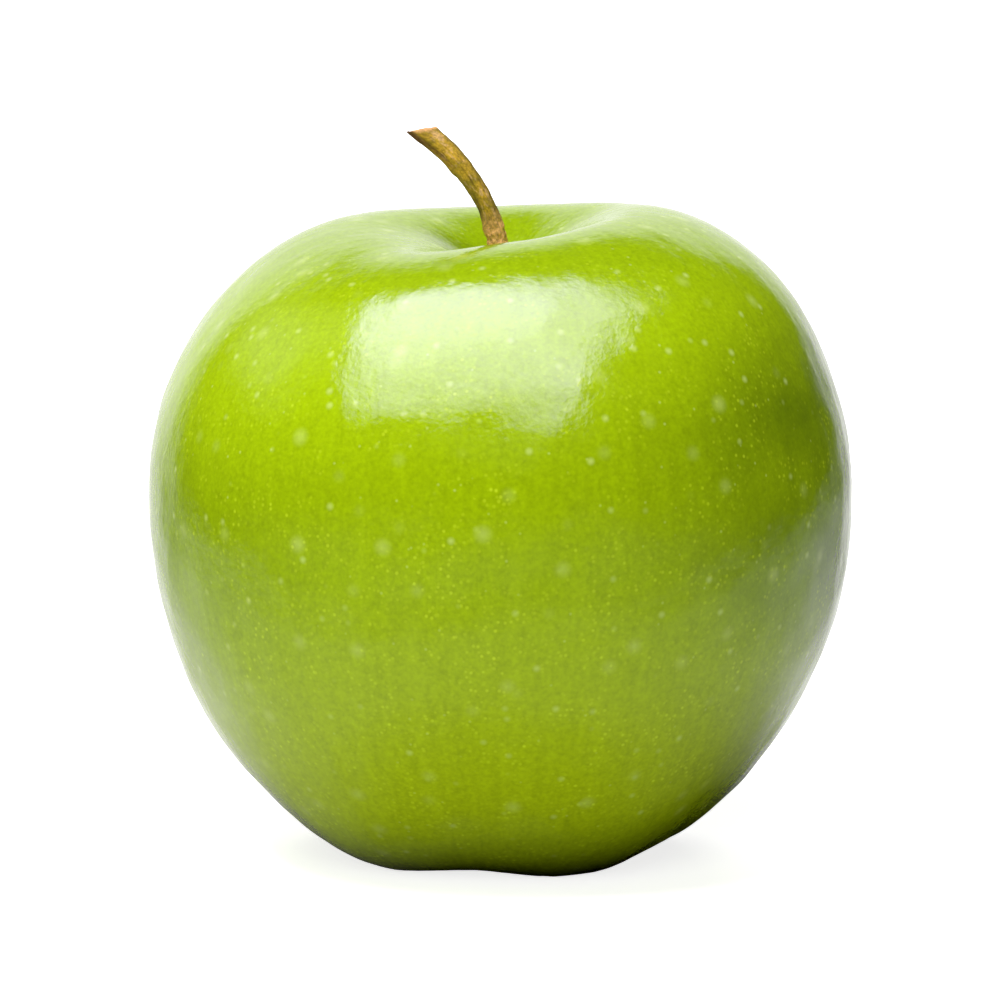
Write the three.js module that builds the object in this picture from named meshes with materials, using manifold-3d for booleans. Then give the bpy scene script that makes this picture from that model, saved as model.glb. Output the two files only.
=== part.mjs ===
// A green apple at its real size, standing upright: the fruit, the stem in its cavity, and the dry calyx
// with its tuft of stamens in the basin underneath.
// Millimetres and degrees, +Z up. The origin lies on the surface that the apple stands on, under the
// middle of the fruit. -Y is the front, and azimuths run anticlockwise from +X, seen from above.

import * as THREE from "three";
import { mergeVertices } from "three/addons/utils/BufferGeometryUtils.js";
import Module from "manifold-3d";

const wasm = await Module();
wasm.setup();

const { degToRad, euclideanModulo, lerp, seededRandom, smoothstep } = THREE.MathUtils;

// Driving dimensions of the fruit
const fruitRadius = 40;
const widestHeight = 41.2; // height of the widest ring
const shoulderHeight = 72.4; // mean height of the ring of highest points, round the stem cavity
const shoulderRadius = 15.6;
const crownRadius = 15.6; // ring of lowest points, round the calyx basin
const cavityDepth = 13.5;
const basinDepth = 7;
const standingCut = 0.3; // how far the lowest points are flattened where the fruit stands

// How far each stretch of the outline runs straight on before it turns
const shoulderReach = 13.3;
const upperSideReach = 15.9;
const lowerSideReach = 14.9;
const crownReach = 5;
const bowlReach = 3.2;
const cavityFloorReach = 0.5;
const cavityFloorRise = 3.5;
const basinReach = 6;
const basinFloorReach = 4.1;

// Where the bowl of the stem cavity turns down into its throat
const throatRadius = 5;
const throatDrop = 3.7; // below the shoulder
const throatSlope = 33;
const throatReachUp = 3.6;
const throatReachDown = 2.2;

// The straight taper low on the side, by the middle of its run
const taperRadius = 29.9;
const taperHeight = 10.3;
const taperSlope = 54;
const taperReachUp = 7.7;
const taperReachDown = 5.4;

// How the fruit departs from a round one
const lobes = 5;
const lobeAzimuth = -62;
const crownLobeRise = 0.85; // height of the saddles between the lobes it stands on
const shoulderLobeHeight = 0.1;
const crownLobeSwell = 0.012; // share of the radius
const shoulderLobeSwell = 0.008;
const shoulderTilt = 1.15; // the shoulder is this much higher on one side
const shoulderTiltAzimuth = 28;
const shoulderSaddle = 0.6;
const shoulderSaddleAzimuth = -20;
const shoulderSwells = [ // local swells and dips of the ring of highest points
  { azimuth: -133, spread: 20, rise: -0.65 },
  { azimuth: -92, spread: 16, rise: 0.3 },
  { azimuth: 92, spread: 22, rise: -0.3 },
  { azimuth: 47, spread: 18, rise: 0.3 },
];
const crownLeanShare = 0.02; // the lower half is this much fuller on one side
const crownLeanAzimuth = 175;
const ovalShare = 0.005;
const ovalAzimuth = -33;

// The sockets that the stem and the calyx grow from
const gap = 0.3;
const stemRootRadius = 1.6;
const stemSocketDepth = 4;
const calyxCupRadius = 2.6;
const calyxSocketDepth = 3;

// The stem
const stemRoute = [
  [0.1, 0, 63.5],
  [-0.3, 0, 69.3],
  [-1.25, -0.1, 73.2],
  [-3.3, 0.1, 76.8],
  [-6.1, 0.3, 80],
  [-9, 0.4, 82.4],
];
const stemWaistRadius = 1.1;
const stemTipRadius = 1.32;
const stemRidges = 3;
const stemRidgeShare = 0.06; // share of the radius
const stemRidgeTurn = 110; // over the whole length
const stemCutSlant = 0.85; // how far the cut end leads and trails its middle, by the radius

// Where along the stem it changes, as shares of its length from the root
const stemRootEnd = 0.12;
const stemRidgesStart = 0.2;
const stemRidgesFull = 0.4;
const stemWaist = 0.5;
const stemSlantStart = 0.86;

// The calyx and its stamens
const sepalLength = 7.6;
const sepalWidth = 3.4;
const sepalThickness = 0.75;
const sepalRootHeight = 7.6;
const sepalTaper = 0.86; // share of the width that is gone at the tip
const sepalTaperPower = 0.7; // under 1, so that the blade stays broad and then narrows fast
const cupMouthRadius = 1.6;
const cupHollowRadius = 1.4;
const cupMouthHeight = 6.2;
const cupHollowDepth = 1.9;
const cupLipHeight = 0.4;
const stamenCount = 9; // one in the middle of a ring
const stamenThickness = 0.6;
const stamenLength = 3.6;
const stamenRingRadius = 0.55;
const stamenKnobShare = 0.35;
const stamenRootHeight = 0.8;

// How a sepal and a stamen run, as [outwards, downwards] from their root in shares of their length
const sepalRoute = [[0, 0], [0.07, 0.3], [0.33, 0.52], [0.61, 0.57]];
const stamenRoute = [[0, 0], [0.02, 0.45], [0.11, 0.8], [0.24, 1]];

// Fineness of the facets
const aroundFruit = 75; // a multiple of the lobes, so that each lobe has the same facets
const aroundStem = 16;
const stemRings = 34;
const aroundCup = 30;
const aroundSepal = 10;
const sepalRings = 9;
const aroundStamen = 5;
const stamenRings = 5;

const shoulderFloor = shoulderHeight - cavityDepth; // where the stem leaves the flesh

// A point of the outline, at a distance from the axis and a height.
function at(radius, height) {
  return new THREE.Vector2(radius, height);
}

// One stretch of the outline, with the points where it starts and ends, as evenly spaced stations.
function stretch(zone, count, start, leave, arrive, end) {
  const curve = new THREE.CubicBezierCurve(start, leave, arrive, end);
  return curve.getSpacedPoints(count).map((point) => ({ point, zone }));
}

// The fruit's outline from the bottom of the stem's socket, over the shoulder, down the side and
// through the crown to the top of the calyx's socket, turned round so that it runs upwards. The zones
// say which weights a station takes.
function fruitOutline() {
  const stemSocket = stemRootRadius + gap;
  const calyxSocket = calyxCupRadius + gap;
  const floor = shoulderFloor;
  const slope = new THREE.Vector2(Math.cos(degToRad(taperSlope)), Math.sin(degToRad(taperSlope)));
  const taper = at(taperRadius, taperHeight);
  const taperUp = taper.clone().addScaledVector(slope, taperReachUp);
  const taperDown = taper.clone().addScaledVector(slope, -taperReachDown);
  const fall = new THREE.Vector2(Math.cos(degToRad(throatSlope)), Math.sin(degToRad(throatSlope)));
  const throat = at(throatRadius, shoulderHeight - throatDrop);
  const throatUp = throat.clone().addScaledVector(fall, throatReachUp);
  const throatDown = throat.clone().addScaledVector(fall, -throatReachDown);
  const shoulder = at(shoulderRadius, shoulderHeight);
  const widest = at(fruitRadius, widestHeight);
  const crown = at(crownRadius, 0);
  const stations = [
    { point: at(0, floor - stemSocketDepth), zone: "socket" },
    { point: at(stemSocket, floor - stemSocketDepth), zone: "socket" },
    ...stretch(
      "cavity", 6,
      at(stemSocket, floor), at(stemSocket + cavityFloorReach, floor + cavityFloorRise), throatDown, throat,
    ),
    ...stretch("cavity", 7, throat, throatUp, at(shoulderRadius - bowlReach, shoulderHeight), shoulder),
    ...stretch(
      "shoulder", 13,
      shoulder, at(shoulderRadius + shoulderReach, shoulderHeight),
      at(fruitRadius, widestHeight + upperSideReach), widest,
    ),
    ...stretch("side", 9, widest, at(fruitRadius, widestHeight - lowerSideReach), taperUp, taper),
    ...stretch("side", 7, taper, taperDown, at(crownRadius + crownReach, 0), crown),
    ...stretch(
      "basin", 8,
      crown, at(crownRadius - basinReach, 0),
      at(calyxSocket + basinFloorReach, basinDepth), at(calyxSocket, basinDepth),
    ),
    { point: at(calyxSocket, basinDepth + calyxSocketDepth), zone: "socket" },
    { point: at(0, basinDepth + calyxSocketDepth), zone: "socket" },
  ];
  const apart = ({ point }, i) => i === 0 || point.distanceTo(stations[i - 1].point) > 1e-6;
  return stations.filter(apart).reverse();
}

// How strongly a station follows the shoulder's unevenness and the crown's.
function weights({ point, zone }) {
  const shoulder = {
    cavity: smoothstep(point.x, 0, shoulderRadius),
    shoulder: smoothstep(point.y, widestHeight, shoulderHeight),
  };
  const crown = {
    side: 1 - smoothstep(point.y, 0, widestHeight),
    basin: smoothstep(point.x, 0, crownRadius),
  };
  return { shoulder: shoulder[zone] ?? 0, crown: crown[zone] ?? 0 };
}

// The place of a station at an azimuth, with the lobes, the tilt and the saddle of the shoulder, the lean
// of the lower half, and the lowest points of the crown cut flat where the fruit stands.
function fruitPoint(station, azimuth) {
  const { shoulder, crown } = weights(station);
  const lobe = Math.cos(lobes * (azimuth - degToRad(lobeAzimuth)));
  const tilt = Math.cos(azimuth - degToRad(shoulderTiltAzimuth));
  const saddle = Math.cos(2 * (azimuth - degToRad(shoulderSaddleAzimuth)));
  const oval = Math.cos(2 * (azimuth - degToRad(ovalAzimuth)));
  const lean = Math.cos(azimuth - degToRad(crownLeanAzimuth));
  const uneven = shoulderSwells.reduce((sum, { azimuth: middle, spread, rise }) => {
    const turned = euclideanModulo(azimuth - degToRad(middle) + Math.PI, 2 * Math.PI) - Math.PI;
    return sum + rise * Math.exp(-((turned / degToRad(spread)) ** 2));
  }, shoulderLobeHeight * lobe);
  const shoulderSwell = shoulder * shoulderLobeSwell * lobe;
  const crownSwell = crown * (crownLobeSwell * lobe + crownLeanShare * lean);
  const swell = shoulderSwell + crownSwell + ovalShare * oval;
  const radius = station.point.x * (1 + swell);
  const rise =
    shoulder * (shoulderTilt * tilt + shoulderSaddle * saddle + uneven) +
    (crown * crownLobeRise * (1 - lobe)) / 2;
  const height = Math.max(station.point.y + rise - standingCut, 0);
  return new THREE.Vector3(radius * Math.cos(azimuth), radius * Math.sin(azimuth), height);
}

function makeFruit() {
  const outline = fruitOutline();
  const geometry = new THREE.LatheGeometry(outline.map(({ point }) => point), aroundFruit);
  const { position } = geometry.attributes;
  for (let i = 0; i < position.count; i++) {
    const turn = Math.floor(i / outline.length) % aroundFruit;
    const azimuth = degToRad(lobeAzimuth + (360 / aroundFruit) * turn);
    const { x, y, z } = fruitPoint(outline[i % outline.length], azimuth);
    position.setXYZ(i, x, y, z);
  }
  geometry.computeVertexNormals();
  return geometry;
}

// A closed rod along a curve: section(share, angle) gives how far its surface lies from the curve, across
// and up, and lead(share, angle) how far it runs ahead along the curve, both in millimetres.
function rod(curve, across, section, sides, rings, lead = () => 0) {
  const geometry = new THREE.CylinderGeometry(1, 1, 1, sides, rings);
  const { position } = geometry.attributes;
  const from = new THREE.Vector3();
  for (let i = 0; i < position.count; i++) {
    from.fromBufferAttribute(position, i);
    const share = from.y + 0.5;
    const angle = Math.atan2(from.x, from.z);
    const spread = Math.hypot(from.x, from.z);
    const along = curve.getTangentAt(share);
    const up = new THREE.Vector3().crossVectors(across, along).normalize();
    const side = new THREE.Vector3().crossVectors(along, up);
    const [sideways, upwards] = section(share, angle);
    const place = curve
      .getPointAt(share)
      .addScaledVector(side, sideways * spread)
      .addScaledVector(up, upwards * spread)
      .addScaledVector(along, lead(share, angle) * spread);
    position.setXYZ(i, place.x, place.y, place.z);
  }
  geometry.computeVertexNormals();
  return geometry;
}

// A geometry as a solid, and solids fused into one geometry.
function solid(geometry) {
  const bare = geometry.clone();
  bare.deleteAttribute("normal");
  bare.deleteAttribute("uv");
  const merged = mergeVertices(bare, 1e-3);
  return new wasm.Manifold(
    new wasm.Mesh({
      numProp: 3,
      vertProperties: merged.attributes.position.array,
      triVerts: new Uint32Array(merged.index.array),
    }),
  );
}

function fuse(geometries) {
  const mesh = geometries.map(solid).reduce((joined, next) => joined.add(next)).getMesh();
  const geometry = new THREE.BufferGeometry();
  geometry.setAttribute("position", new THREE.BufferAttribute(mesh.vertProperties, mesh.numProp));
  geometry.setIndex(new THREE.BufferAttribute(mesh.triVerts, 1));
  geometry.computeVertexNormals();
  return geometry;
}

// A turned piece, from an outline of [radius, height] pairs that goes from the axis back to the axis.
function turned(outline, around) {
  const geometry = new THREE.LatheGeometry(outline.map(([radius, height]) => at(radius, height)), around);
  return geometry.rotateX(Math.PI / 2);
}

// The stem: a root that fills its socket, a narrow waist with three slow ridges, and a thicker end that is
// cut at a slant, so that its lower edge reaches furthest.
function makeStem() {
  const foot = shoulderFloor - standingCut - stemSocketDepth + gap;
  const route = [[0, 0, foot], [0, 0, shoulderFloor - standingCut + 0.5], ...stemRoute];
  const curve = new THREE.CatmullRomCurve3(route.map((point) => new THREE.Vector3(...point)));
  curve.arcLengthDivisions = 400;
  const radius = (share) => {
    const lower = lerp(stemRootRadius, stemWaistRadius, smoothstep(share, stemRootEnd, stemWaist));
    return lerp(lower, stemTipRadius, smoothstep(share, stemWaist, 1));
  };
  const section = (share, angle) => {
    const ridge = Math.cos(stemRidges * (angle - degToRad(stemRidgeTurn) * share));
    const ridged = smoothstep(share, stemRidgesStart, stemRidgesFull);
    const reach = radius(share) * (1 + stemRidgeShare * ridge * ridged);
    return [reach * Math.sin(angle), reach * Math.cos(angle)];
  };
  const slant = (share, angle) =>
    -stemCutSlant * stemTipRadius * Math.cos(angle) * smoothstep(share, stemSlantStart, 1);
  return rod(curve, new THREE.Vector3(0, 1, 0), section, aroundStem, stemRings, slant);
}

// The points of a thread or blade that leaves the core at an azimuth, from its root downwards.
function hangingRoute(route, azimuth, rootRadius, rootHeight, length, spread) {
  return route.map(([out, down]) => {
    const radius = rootRadius + out * length * spread;
    const height = rootHeight - down * length;
    return new THREE.Vector3(radius * Math.cos(azimuth), radius * Math.sin(azimuth), height);
  });
}

// One sepal: a dry, pointed blade that leaves the cup downwards and curls outwards in the basin.
function sepal(index) {
  const azimuth = degToRad(lobeAzimuth + (360 / lobes) * (index + 0.5));
  const length = sepalLength * lerp(0.9, 1.06, seededRandom(index + 1));
  const root = calyxCupRadius - sepalThickness;
  const route = hangingRoute(sepalRoute, azimuth, root, sepalRootHeight - standingCut, length, 1);
  const across = new THREE.Vector3(-Math.sin(azimuth), Math.cos(azimuth), 0);
  const section = (share, angle) => {
    const width = sepalWidth * Math.pow(1 - sepalTaper * share, sepalTaperPower);
    return [(width / 2) * Math.sin(angle), (sepalThickness / 2) * Math.cos(angle)];
  };
  return rod(new THREE.CatmullRomCurve3(route), across, section, aroundSepal, sepalRings);
}

// The calyx: the five sepals round a short cup that fills its socket and is hollow below.
function makeCalyx() {
  const top = basinDepth + calyxSocketDepth - gap - standingCut;
  const mouth = cupMouthHeight - standingCut;
  const outline = [
    [0, mouth + cupHollowDepth],
    [cupHollowRadius, mouth + cupHollowDepth],
    [cupMouthRadius, mouth + cupLipHeight],
    [(cupMouthRadius + calyxCupRadius) / 2, mouth],
    [calyxCupRadius, mouth + cupLipHeight],
    [calyxCupRadius, top],
    [0, top],
  ];
  const sepals = Array.from({ length: lobes }, (_, index) => sepal(index));
  return fuse([turned(outline, aroundCup), ...sepals]);
}

// One withered stamen: a thin thread that leans outwards and ends in a small knob.
function stamen(index, rootHeight) {
  const azimuth = degToRad((360 / (stamenCount - 1)) * (index + 0.3 * seededRandom(index + 1)));
  const length = stamenLength * lerp(0.75, 1, seededRandom(index + 11));
  const ring = index === 0 ? 0 : stamenRingRadius;
  const spread = index === 0 ? 0 : lerp(0.6, 1.2, seededRandom(index + 21));
  const route = hangingRoute(stamenRoute, azimuth, ring, rootHeight, length, spread);
  const across = new THREE.Vector3(-Math.sin(azimuth), Math.cos(azimuth), 0);
  const section = (share, angle) => {
    const reach = (stamenThickness / 2) * (1 + stamenKnobShare * smoothstep(share, 0.75, 0.9));
    return [reach * Math.sin(angle), reach * Math.cos(angle)];
  };
  return rod(new THREE.CatmullRomCurve3(route), across, section, aroundStamen, stamenRings);
}

// The tuft of stamens, on the small button that they share in the hollow of the cup.
function makeStamens() {
  const top = cupMouthHeight + cupHollowDepth - gap - standingCut;
  const foot = top - stamenRootHeight;
  const button = cupHollowRadius - gap;
  const base = turned([[0, foot], [button, foot], [button, top], [0, top]], aroundStem);
  const threads = Array.from({ length: stamenCount }, (_, index) => stamen(index, top - gap));
  return fuse([base, ...threads]);
}

const skin = new THREE.MeshStandardMaterial({ color: "#93b20f", roughness: 0.3, metalness: 0 });
const bark = new THREE.MeshStandardMaterial({ color: "#8a6a24", roughness: 0.75, metalness: 0 });
const drySepal = new THREE.MeshStandardMaterial({ color: "#6b5a35", roughness: 0.9, metalness: 0 });
const dryThread = new THREE.MeshStandardMaterial({ color: "#3d2c1a", roughness: 0.9, metalness: 0 });

function piece(name, geometry, material) {
  const mesh = new THREE.Mesh(geometry, material);
  mesh.name = name;
  return mesh;
}

const pieces = new THREE.Group();
pieces.add(
  piece("fruit", makeFruit(), skin),
  piece("stem", makeStem(), bark),
  piece("calyx", makeCalyx(), drySepal),
  piece("stamens", makeStamens(), dryThread),
);

// The lobes put the middle of the fruit a little off the axis of its core: the origin goes under it.
const middle = new THREE.Box3().setFromObject(pieces).getCenter(new THREE.Vector3());
pieces.position.set(-middle.x, -middle.y, 0);

const apple = new THREE.Group();
apple.add(pieces);

export default apple;
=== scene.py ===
"""A green apple standing upright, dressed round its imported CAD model.

The fruit with its waxed skin, the woody stem in the top cavity, the dry calyx and the stamens in the
basin underneath, on a pale floor in soft studio light. Shapes are worked out in millimetres in the
part's own frame: +Z up, -Y to the front, azimuths anticlockwise from +X seen from above. They become
metres when they become meshes.
"""

import logging
import math
from collections.abc import Mapping, Sequence
from dataclasses import dataclass
from enum import Enum

import bpy
import numpy as np
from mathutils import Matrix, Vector

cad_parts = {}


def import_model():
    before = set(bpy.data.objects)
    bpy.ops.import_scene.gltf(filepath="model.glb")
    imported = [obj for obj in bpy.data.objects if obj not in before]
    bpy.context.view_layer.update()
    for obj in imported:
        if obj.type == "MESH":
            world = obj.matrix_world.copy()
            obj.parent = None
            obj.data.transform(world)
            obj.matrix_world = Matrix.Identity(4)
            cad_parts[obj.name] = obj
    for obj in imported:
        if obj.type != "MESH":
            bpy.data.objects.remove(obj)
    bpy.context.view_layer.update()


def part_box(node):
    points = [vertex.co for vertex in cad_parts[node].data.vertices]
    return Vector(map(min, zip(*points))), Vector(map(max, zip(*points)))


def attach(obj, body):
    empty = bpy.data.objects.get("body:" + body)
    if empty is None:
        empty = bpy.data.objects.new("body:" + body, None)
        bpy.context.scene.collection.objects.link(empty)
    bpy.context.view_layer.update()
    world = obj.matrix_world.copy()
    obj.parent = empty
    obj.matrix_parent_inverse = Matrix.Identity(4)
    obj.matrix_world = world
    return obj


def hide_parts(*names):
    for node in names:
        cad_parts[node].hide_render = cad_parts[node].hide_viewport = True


LOG = logging.getLogger("apple")
MM = 0.001
TURN = 2 * math.pi
BODY = "root"

Array = np.ndarray
Links = Mapping[str | int, object]
Socket = bpy.types.NodeSocket
Tree = bpy.types.NodeTree


# Colour


def linear(hex_code: str) -> tuple[float, float, float, float]:
    """Turns an sRGB hex value into linear red, green, blue and an alpha of 1.

    Args:
        hex_code: The colour as "#rrggbb".

    Returns:
        The linear colour.
    """
    share = np.array([int(hex_code[i : i + 2], 16) for i in (1, 3, 5)]) / 255
    red, green, blue = np.where(share <= 0.04045, share / 12.92, ((share + 0.055) / 1.055) ** 2.4)
    return float(red), float(green), float(blue), 1.0


# Curves and waves


def smoothstep(value: Array | float, low: float, high: float) -> Array:
    """Rises from 0 at low to 1 at high as 3t^2 - 2t^3, where t is the clamped share of the way.

    Args:
        value: Where to read the step.
        low: Where the rise starts.
        high: Where the rise ends.

    Returns:
        The step at each value.
    """
    share = np.clip((np.asarray(value, float) - low) / (high - low), 0, 1)
    return share * share * (3 - 2 * share)


def turned(angle: Array, degrees: float) -> Array:
    """How far each angle in radians is past the one given in degrees, from -pi to pi."""
    return np.mod(angle - math.radians(degrees) + math.pi, TURN) - math.pi


def evenly_spaced(points: Array, count: int) -> Array:
    """Resamples a fine polyline at count + 1 places that are evenly spaced along it.

    Args:
        points: The polyline, one point a row.
        count: How many steps to make.

    Returns:
        The new points, one a row.
    """
    steps = np.linalg.norm(np.diff(points, axis=0), axis=1)
    run = np.concatenate([[0], np.cumsum(steps)])
    wanted = np.linspace(0, run[-1], count + 1)
    return np.stack([np.interp(wanted, run, points[:, k]) for k in range(points.shape[1])], axis=1)


def bezier(start: Sequence, leave: Sequence, arrive: Sequence, end: Sequence, count: int) -> Array:
    """A cubic Bezier stretch: each point is the sum of the four handles weighted by (1-t)^3, 3t(1-t)^2,
    3t^2(1-t) and t^3.

    Args:
        start: Where it starts.
        leave: The handle that it leaves along.
        arrive: The handle that it arrives along.
        end: Where it ends.
        count: How many even steps to cut it into.

    Returns:
        The count + 1 points.
    """
    t = np.linspace(0, 1, 20 * count + 1)[:, None]
    handles = [np.asarray(point, float) for point in (start, leave, arrive, end)]
    weights = [(1 - t) ** 3, 3 * t * (1 - t) ** 2, 3 * t * t * (1 - t), t**3]
    return evenly_spaced(sum(w * p for w, p in zip(weights, handles)), count)


def spline(points: Sequence, count: int) -> Array:
    """A smooth curve through all the points, the centripetal Catmull-Rom one that the part's source uses.

    Between two points it is the cubic with the tangents that the neighbours give when each step takes
    the square root of its length in time. The ends are mirrored to give the first and last neighbours.

    Args:
        points: The points it passes through.
        count: How many even steps to cut it into.

    Returns:
        The count + 1 points.
    """
    way = np.asarray(points, float)
    way = np.vstack([2 * way[0] - way[1], way, 2 * way[-1] - way[-2]])
    times = np.sqrt(np.linalg.norm(np.diff(way, axis=0), axis=1))
    t = np.linspace(0, 1, 60)[:-1, None]
    pieces = []
    for i in range(1, len(way) - 2):
        a, b, c, d = way[i - 1 : i + 3]
        before, here, after = times[i - 1 : i + 2]
        leave = ((b - a) / before - (c - a) / (before + here) + (c - b) / here) * here
        arrive = ((c - b) / here - (d - b) / (here + after) + (d - c) / after) * here
        square, cube = 3 * (c - b) - 2 * leave - arrive, 2 * (b - c) + leave + arrive
        pieces.append(b + leave * t + square * t**2 + cube * t**3)
    return evenly_spaced(np.vstack([*pieces, way[-2:-1]]), count)


@dataclass(frozen=True)
class Waves:
    """An irregular swell in space: the sum of plane waves of random direction, length and phase."""

    shortest: float
    longest: float
    count: int
    seed: int

    def at(self, points: Array) -> Array:
        """The swell at each point, with a spread of about 1: sum of sin(k.p + phase) x sqrt(2 / count).

        Args:
            points: Places in millimetres, the last axis being x, y, z.

        Returns:
            The swell, one number a point.
        """
        draw = np.random.default_rng(self.seed)
        heading = draw.normal(size=(self.count, 3))
        heading /= np.linalg.norm(heading, axis=1)[:, None]
        length = draw.uniform(self.shortest, self.longest, self.count)
        phase = draw.uniform(0, TURN, self.count)
        turns = points @ (heading * (TURN / length)[:, None]).T + phase
        return np.sin(turns).sum(axis=-1) * math.sqrt(2 / self.count)


@dataclass(frozen=True)
class Flutes:
    """Ribs that run from pole to pole: the sum of waves round the axis, each a whole number of turns."""

    fewest: int
    most: int
    count: int
    seed: int

    def at(self, azimuth: Array, along: Array) -> Array:
        """The ribs at each place, with a spread of about 1: sum of cos(n x azimuth + phase + drift x along).

        Args:
            azimuth: Angle round the axis, in radians.
            along: Way along the meridian in millimetres, which lets the ribs wander.

        Returns:
            The ribs, one number a place.
        """
        draw = np.random.default_rng(self.seed)
        ribs = draw.integers(self.fewest, self.most + 1, self.count)
        phase = draw.uniform(0, TURN, self.count)
        drift = draw.normal(0, 0.05, self.count)
        waves = [np.cos(n * azimuth + p + d * along) for n, p, d in zip(ribs, phase, drift)]
        return np.sum(waves, axis=0) * math.sqrt(2 / self.count)


# Meshes


@dataclass
class Shell:
    """A closed surface: its points in millimetres, its faces, and numbers that ride on its points."""

    points: Array
    quads: Array
    fans: Array
    numbers: dict[str, Array]

    @classmethod
    def from_rings(cls, rings: Array, numbers: Mapping[str, Array] | None = None) -> "Shell":
        """Joins rings of points into a tube and closes each end with a fan round the ring's middle.

        Args:
            rings: Points as rings x places round x 3.
            numbers: Values for the points, as rings x places round, or x 3 for vectors.

        Returns:
            The shell, with its faces outwards.
        """
        count, around = rings.shape[:2]
        index = np.arange(count * around).reshape(count, around)
        after = np.roll(index, -1, axis=1)
        quads = np.stack([index[:-1], after[:-1], after[1:], index[1:]], axis=-1).reshape(-1, 4)
        foot, tip = count * around, count * around + 1
        bottom = np.stack([after[0], index[0], np.full(around, foot)], axis=-1)
        top = np.stack([index[-1], after[-1], np.full(around, tip)], axis=-1)
        points = np.vstack([rings.reshape(-1, 3), rings[0].mean(axis=0), rings[-1].mean(axis=0)])
        carried = {}
        for name, value in (numbers or {}).items():
            flat = value.reshape(count * around, -1)
            carried[name] = np.vstack([flat, value[0].reshape(around, -1).mean(axis=0)[None],
                                       value[-1].reshape(around, -1).mean(axis=0)[None]])
        return cls(points, quads, np.vstack([bottom, top]), carried).outwards()

    def outwards(self) -> "Shell":
        """The same shell, turned so that it encloses a positive volume: the sum of a.(b x c) / 6."""
        corners = np.vstack([self.fans, self.quads[:, :3], self.quads[:, [0, 2, 3]]])
        a, b, c = (self.points[corners[:, k]] for k in range(3))
        if np.einsum("ij,ij->", a, np.cross(b, c)) >= 0:
            return self
        return Shell(self.points, self.quads[:, ::-1], self.fans[:, ::-1], self.numbers)

    @staticmethod
    def joined(shells: Sequence["Shell"]) -> "Shell":
        """Puts several shells side by side in one.

        Args:
            shells: The shells, which carry the same numbers.

        Returns:
            One shell with all their points and faces.
        """
        starts = np.cumsum([0, *(len(shell.points) for shell in shells[:-1])])
        return Shell(
            np.vstack([shell.points for shell in shells]),
            np.vstack([shell.quads + start for shell, start in zip(shells, starts)]),
            np.vstack([shell.fans + start for shell, start in zip(shells, starts)]),
            {name: np.vstack([shell.numbers[name] for shell in shells]) for name in shells[0].numbers},
        )

    def to_object(self, name: str, crease: float | None = None) -> bpy.types.Object:
        """Makes the Blender object, in metres, smooth but for edges sharper than the crease.

        Args:
            name: The object's name.
            crease: Angle in degrees past which an edge stays sharp, or None for none.

        Returns:
            The linked object, at the origin and unturned.
        """
        mesh = bpy.data.meshes.new(name)
        mesh.from_pydata((self.points * MM).tolist(), [], self.quads.tolist() + self.fans.tolist())
        mesh.polygons.foreach_set("use_smooth", np.ones(len(mesh.polygons), bool))
        if crease is not None:
            mesh.set_sharp_from_angle(angle=math.radians(crease))
        for label, value in self.numbers.items():
            kind, slot = ("FLOAT_VECTOR", "vector") if value.shape[1] == 3 else ("FLOAT", "value")
            attribute = mesh.attributes.new(label, kind, "POINT")
            attribute.data.foreach_set(slot, value.astype(np.float32).ravel())
        mesh.update()
        made = bpy.data.objects.new(name, mesh)
        bpy.context.scene.collection.objects.link(made)
        return made


def grid_normals(rings: Array) -> Array:
    """Unit normals of a closed-round grid: the cross product of its slopes round and along it.

    Args:
        rings: Points as rings x places round x 3.

    Returns:
        The normals, pointing away from the axis when the rings run upwards.
    """
    around = np.roll(rings, -1, axis=1) - np.roll(rings, 1, axis=1)
    normal = np.cross(around, np.gradient(rings, axis=0))
    return normal / np.maximum(np.linalg.norm(normal, axis=-1, keepdims=True), 1e-9)


@dataclass(frozen=True)
class Rod:
    """A closed rod along a curve, with its own across, up and along directions at each ring."""

    line: Array
    across: Array

    def frames(self) -> tuple[Array, Array, Array]:
        """The directions at each ring: along is the line's slope, up = across x along, side = along x up.

        Returns:
            Side, up and along, one unit vector a ring.
        """
        along = np.gradient(self.line, axis=0)
        along /= np.linalg.norm(along, axis=1)[:, None]
        up = np.cross(self.across, along)
        up /= np.linalg.norm(up, axis=1)[:, None]
        return np.cross(along, up), up, along

    def rings(self, sideways: Array, upwards: Array, lead: Array | float = 0.0) -> Array:
        """Rings of points: line + side x sideways + up x upwards + along x lead.

        Args:
            sideways: Reach across, as rings x places round.
            upwards: Reach up, as rings x places round.
            lead: How far a point runs ahead along the line.

        Returns:
            Points as rings x places round x 3.
        """
        side, up, along = (way[:, None, :] for way in self.frames())
        ahead = np.broadcast_to(lead, sideways.shape)
        spread = side * sideways[..., None] + up * upwards[..., None]
        return self.line[:, None, :] + spread + along * ahead[..., None]


# Materials


def pick(sockets: bpy.types.bpy_prop_collection, key: str | int) -> Socket:
    """Finds a socket by its place, its name or its identifier.

    Args:
        sockets: A node's inputs or outputs.
        key: The place, the name or the identifier.

    Returns:
        The socket.
    """
    if isinstance(key, int):
        return sockets[key]
    named = [socket for socket in sockets if key in (socket.identifier, socket.name) and socket.enabled]
    return named[0]


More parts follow.
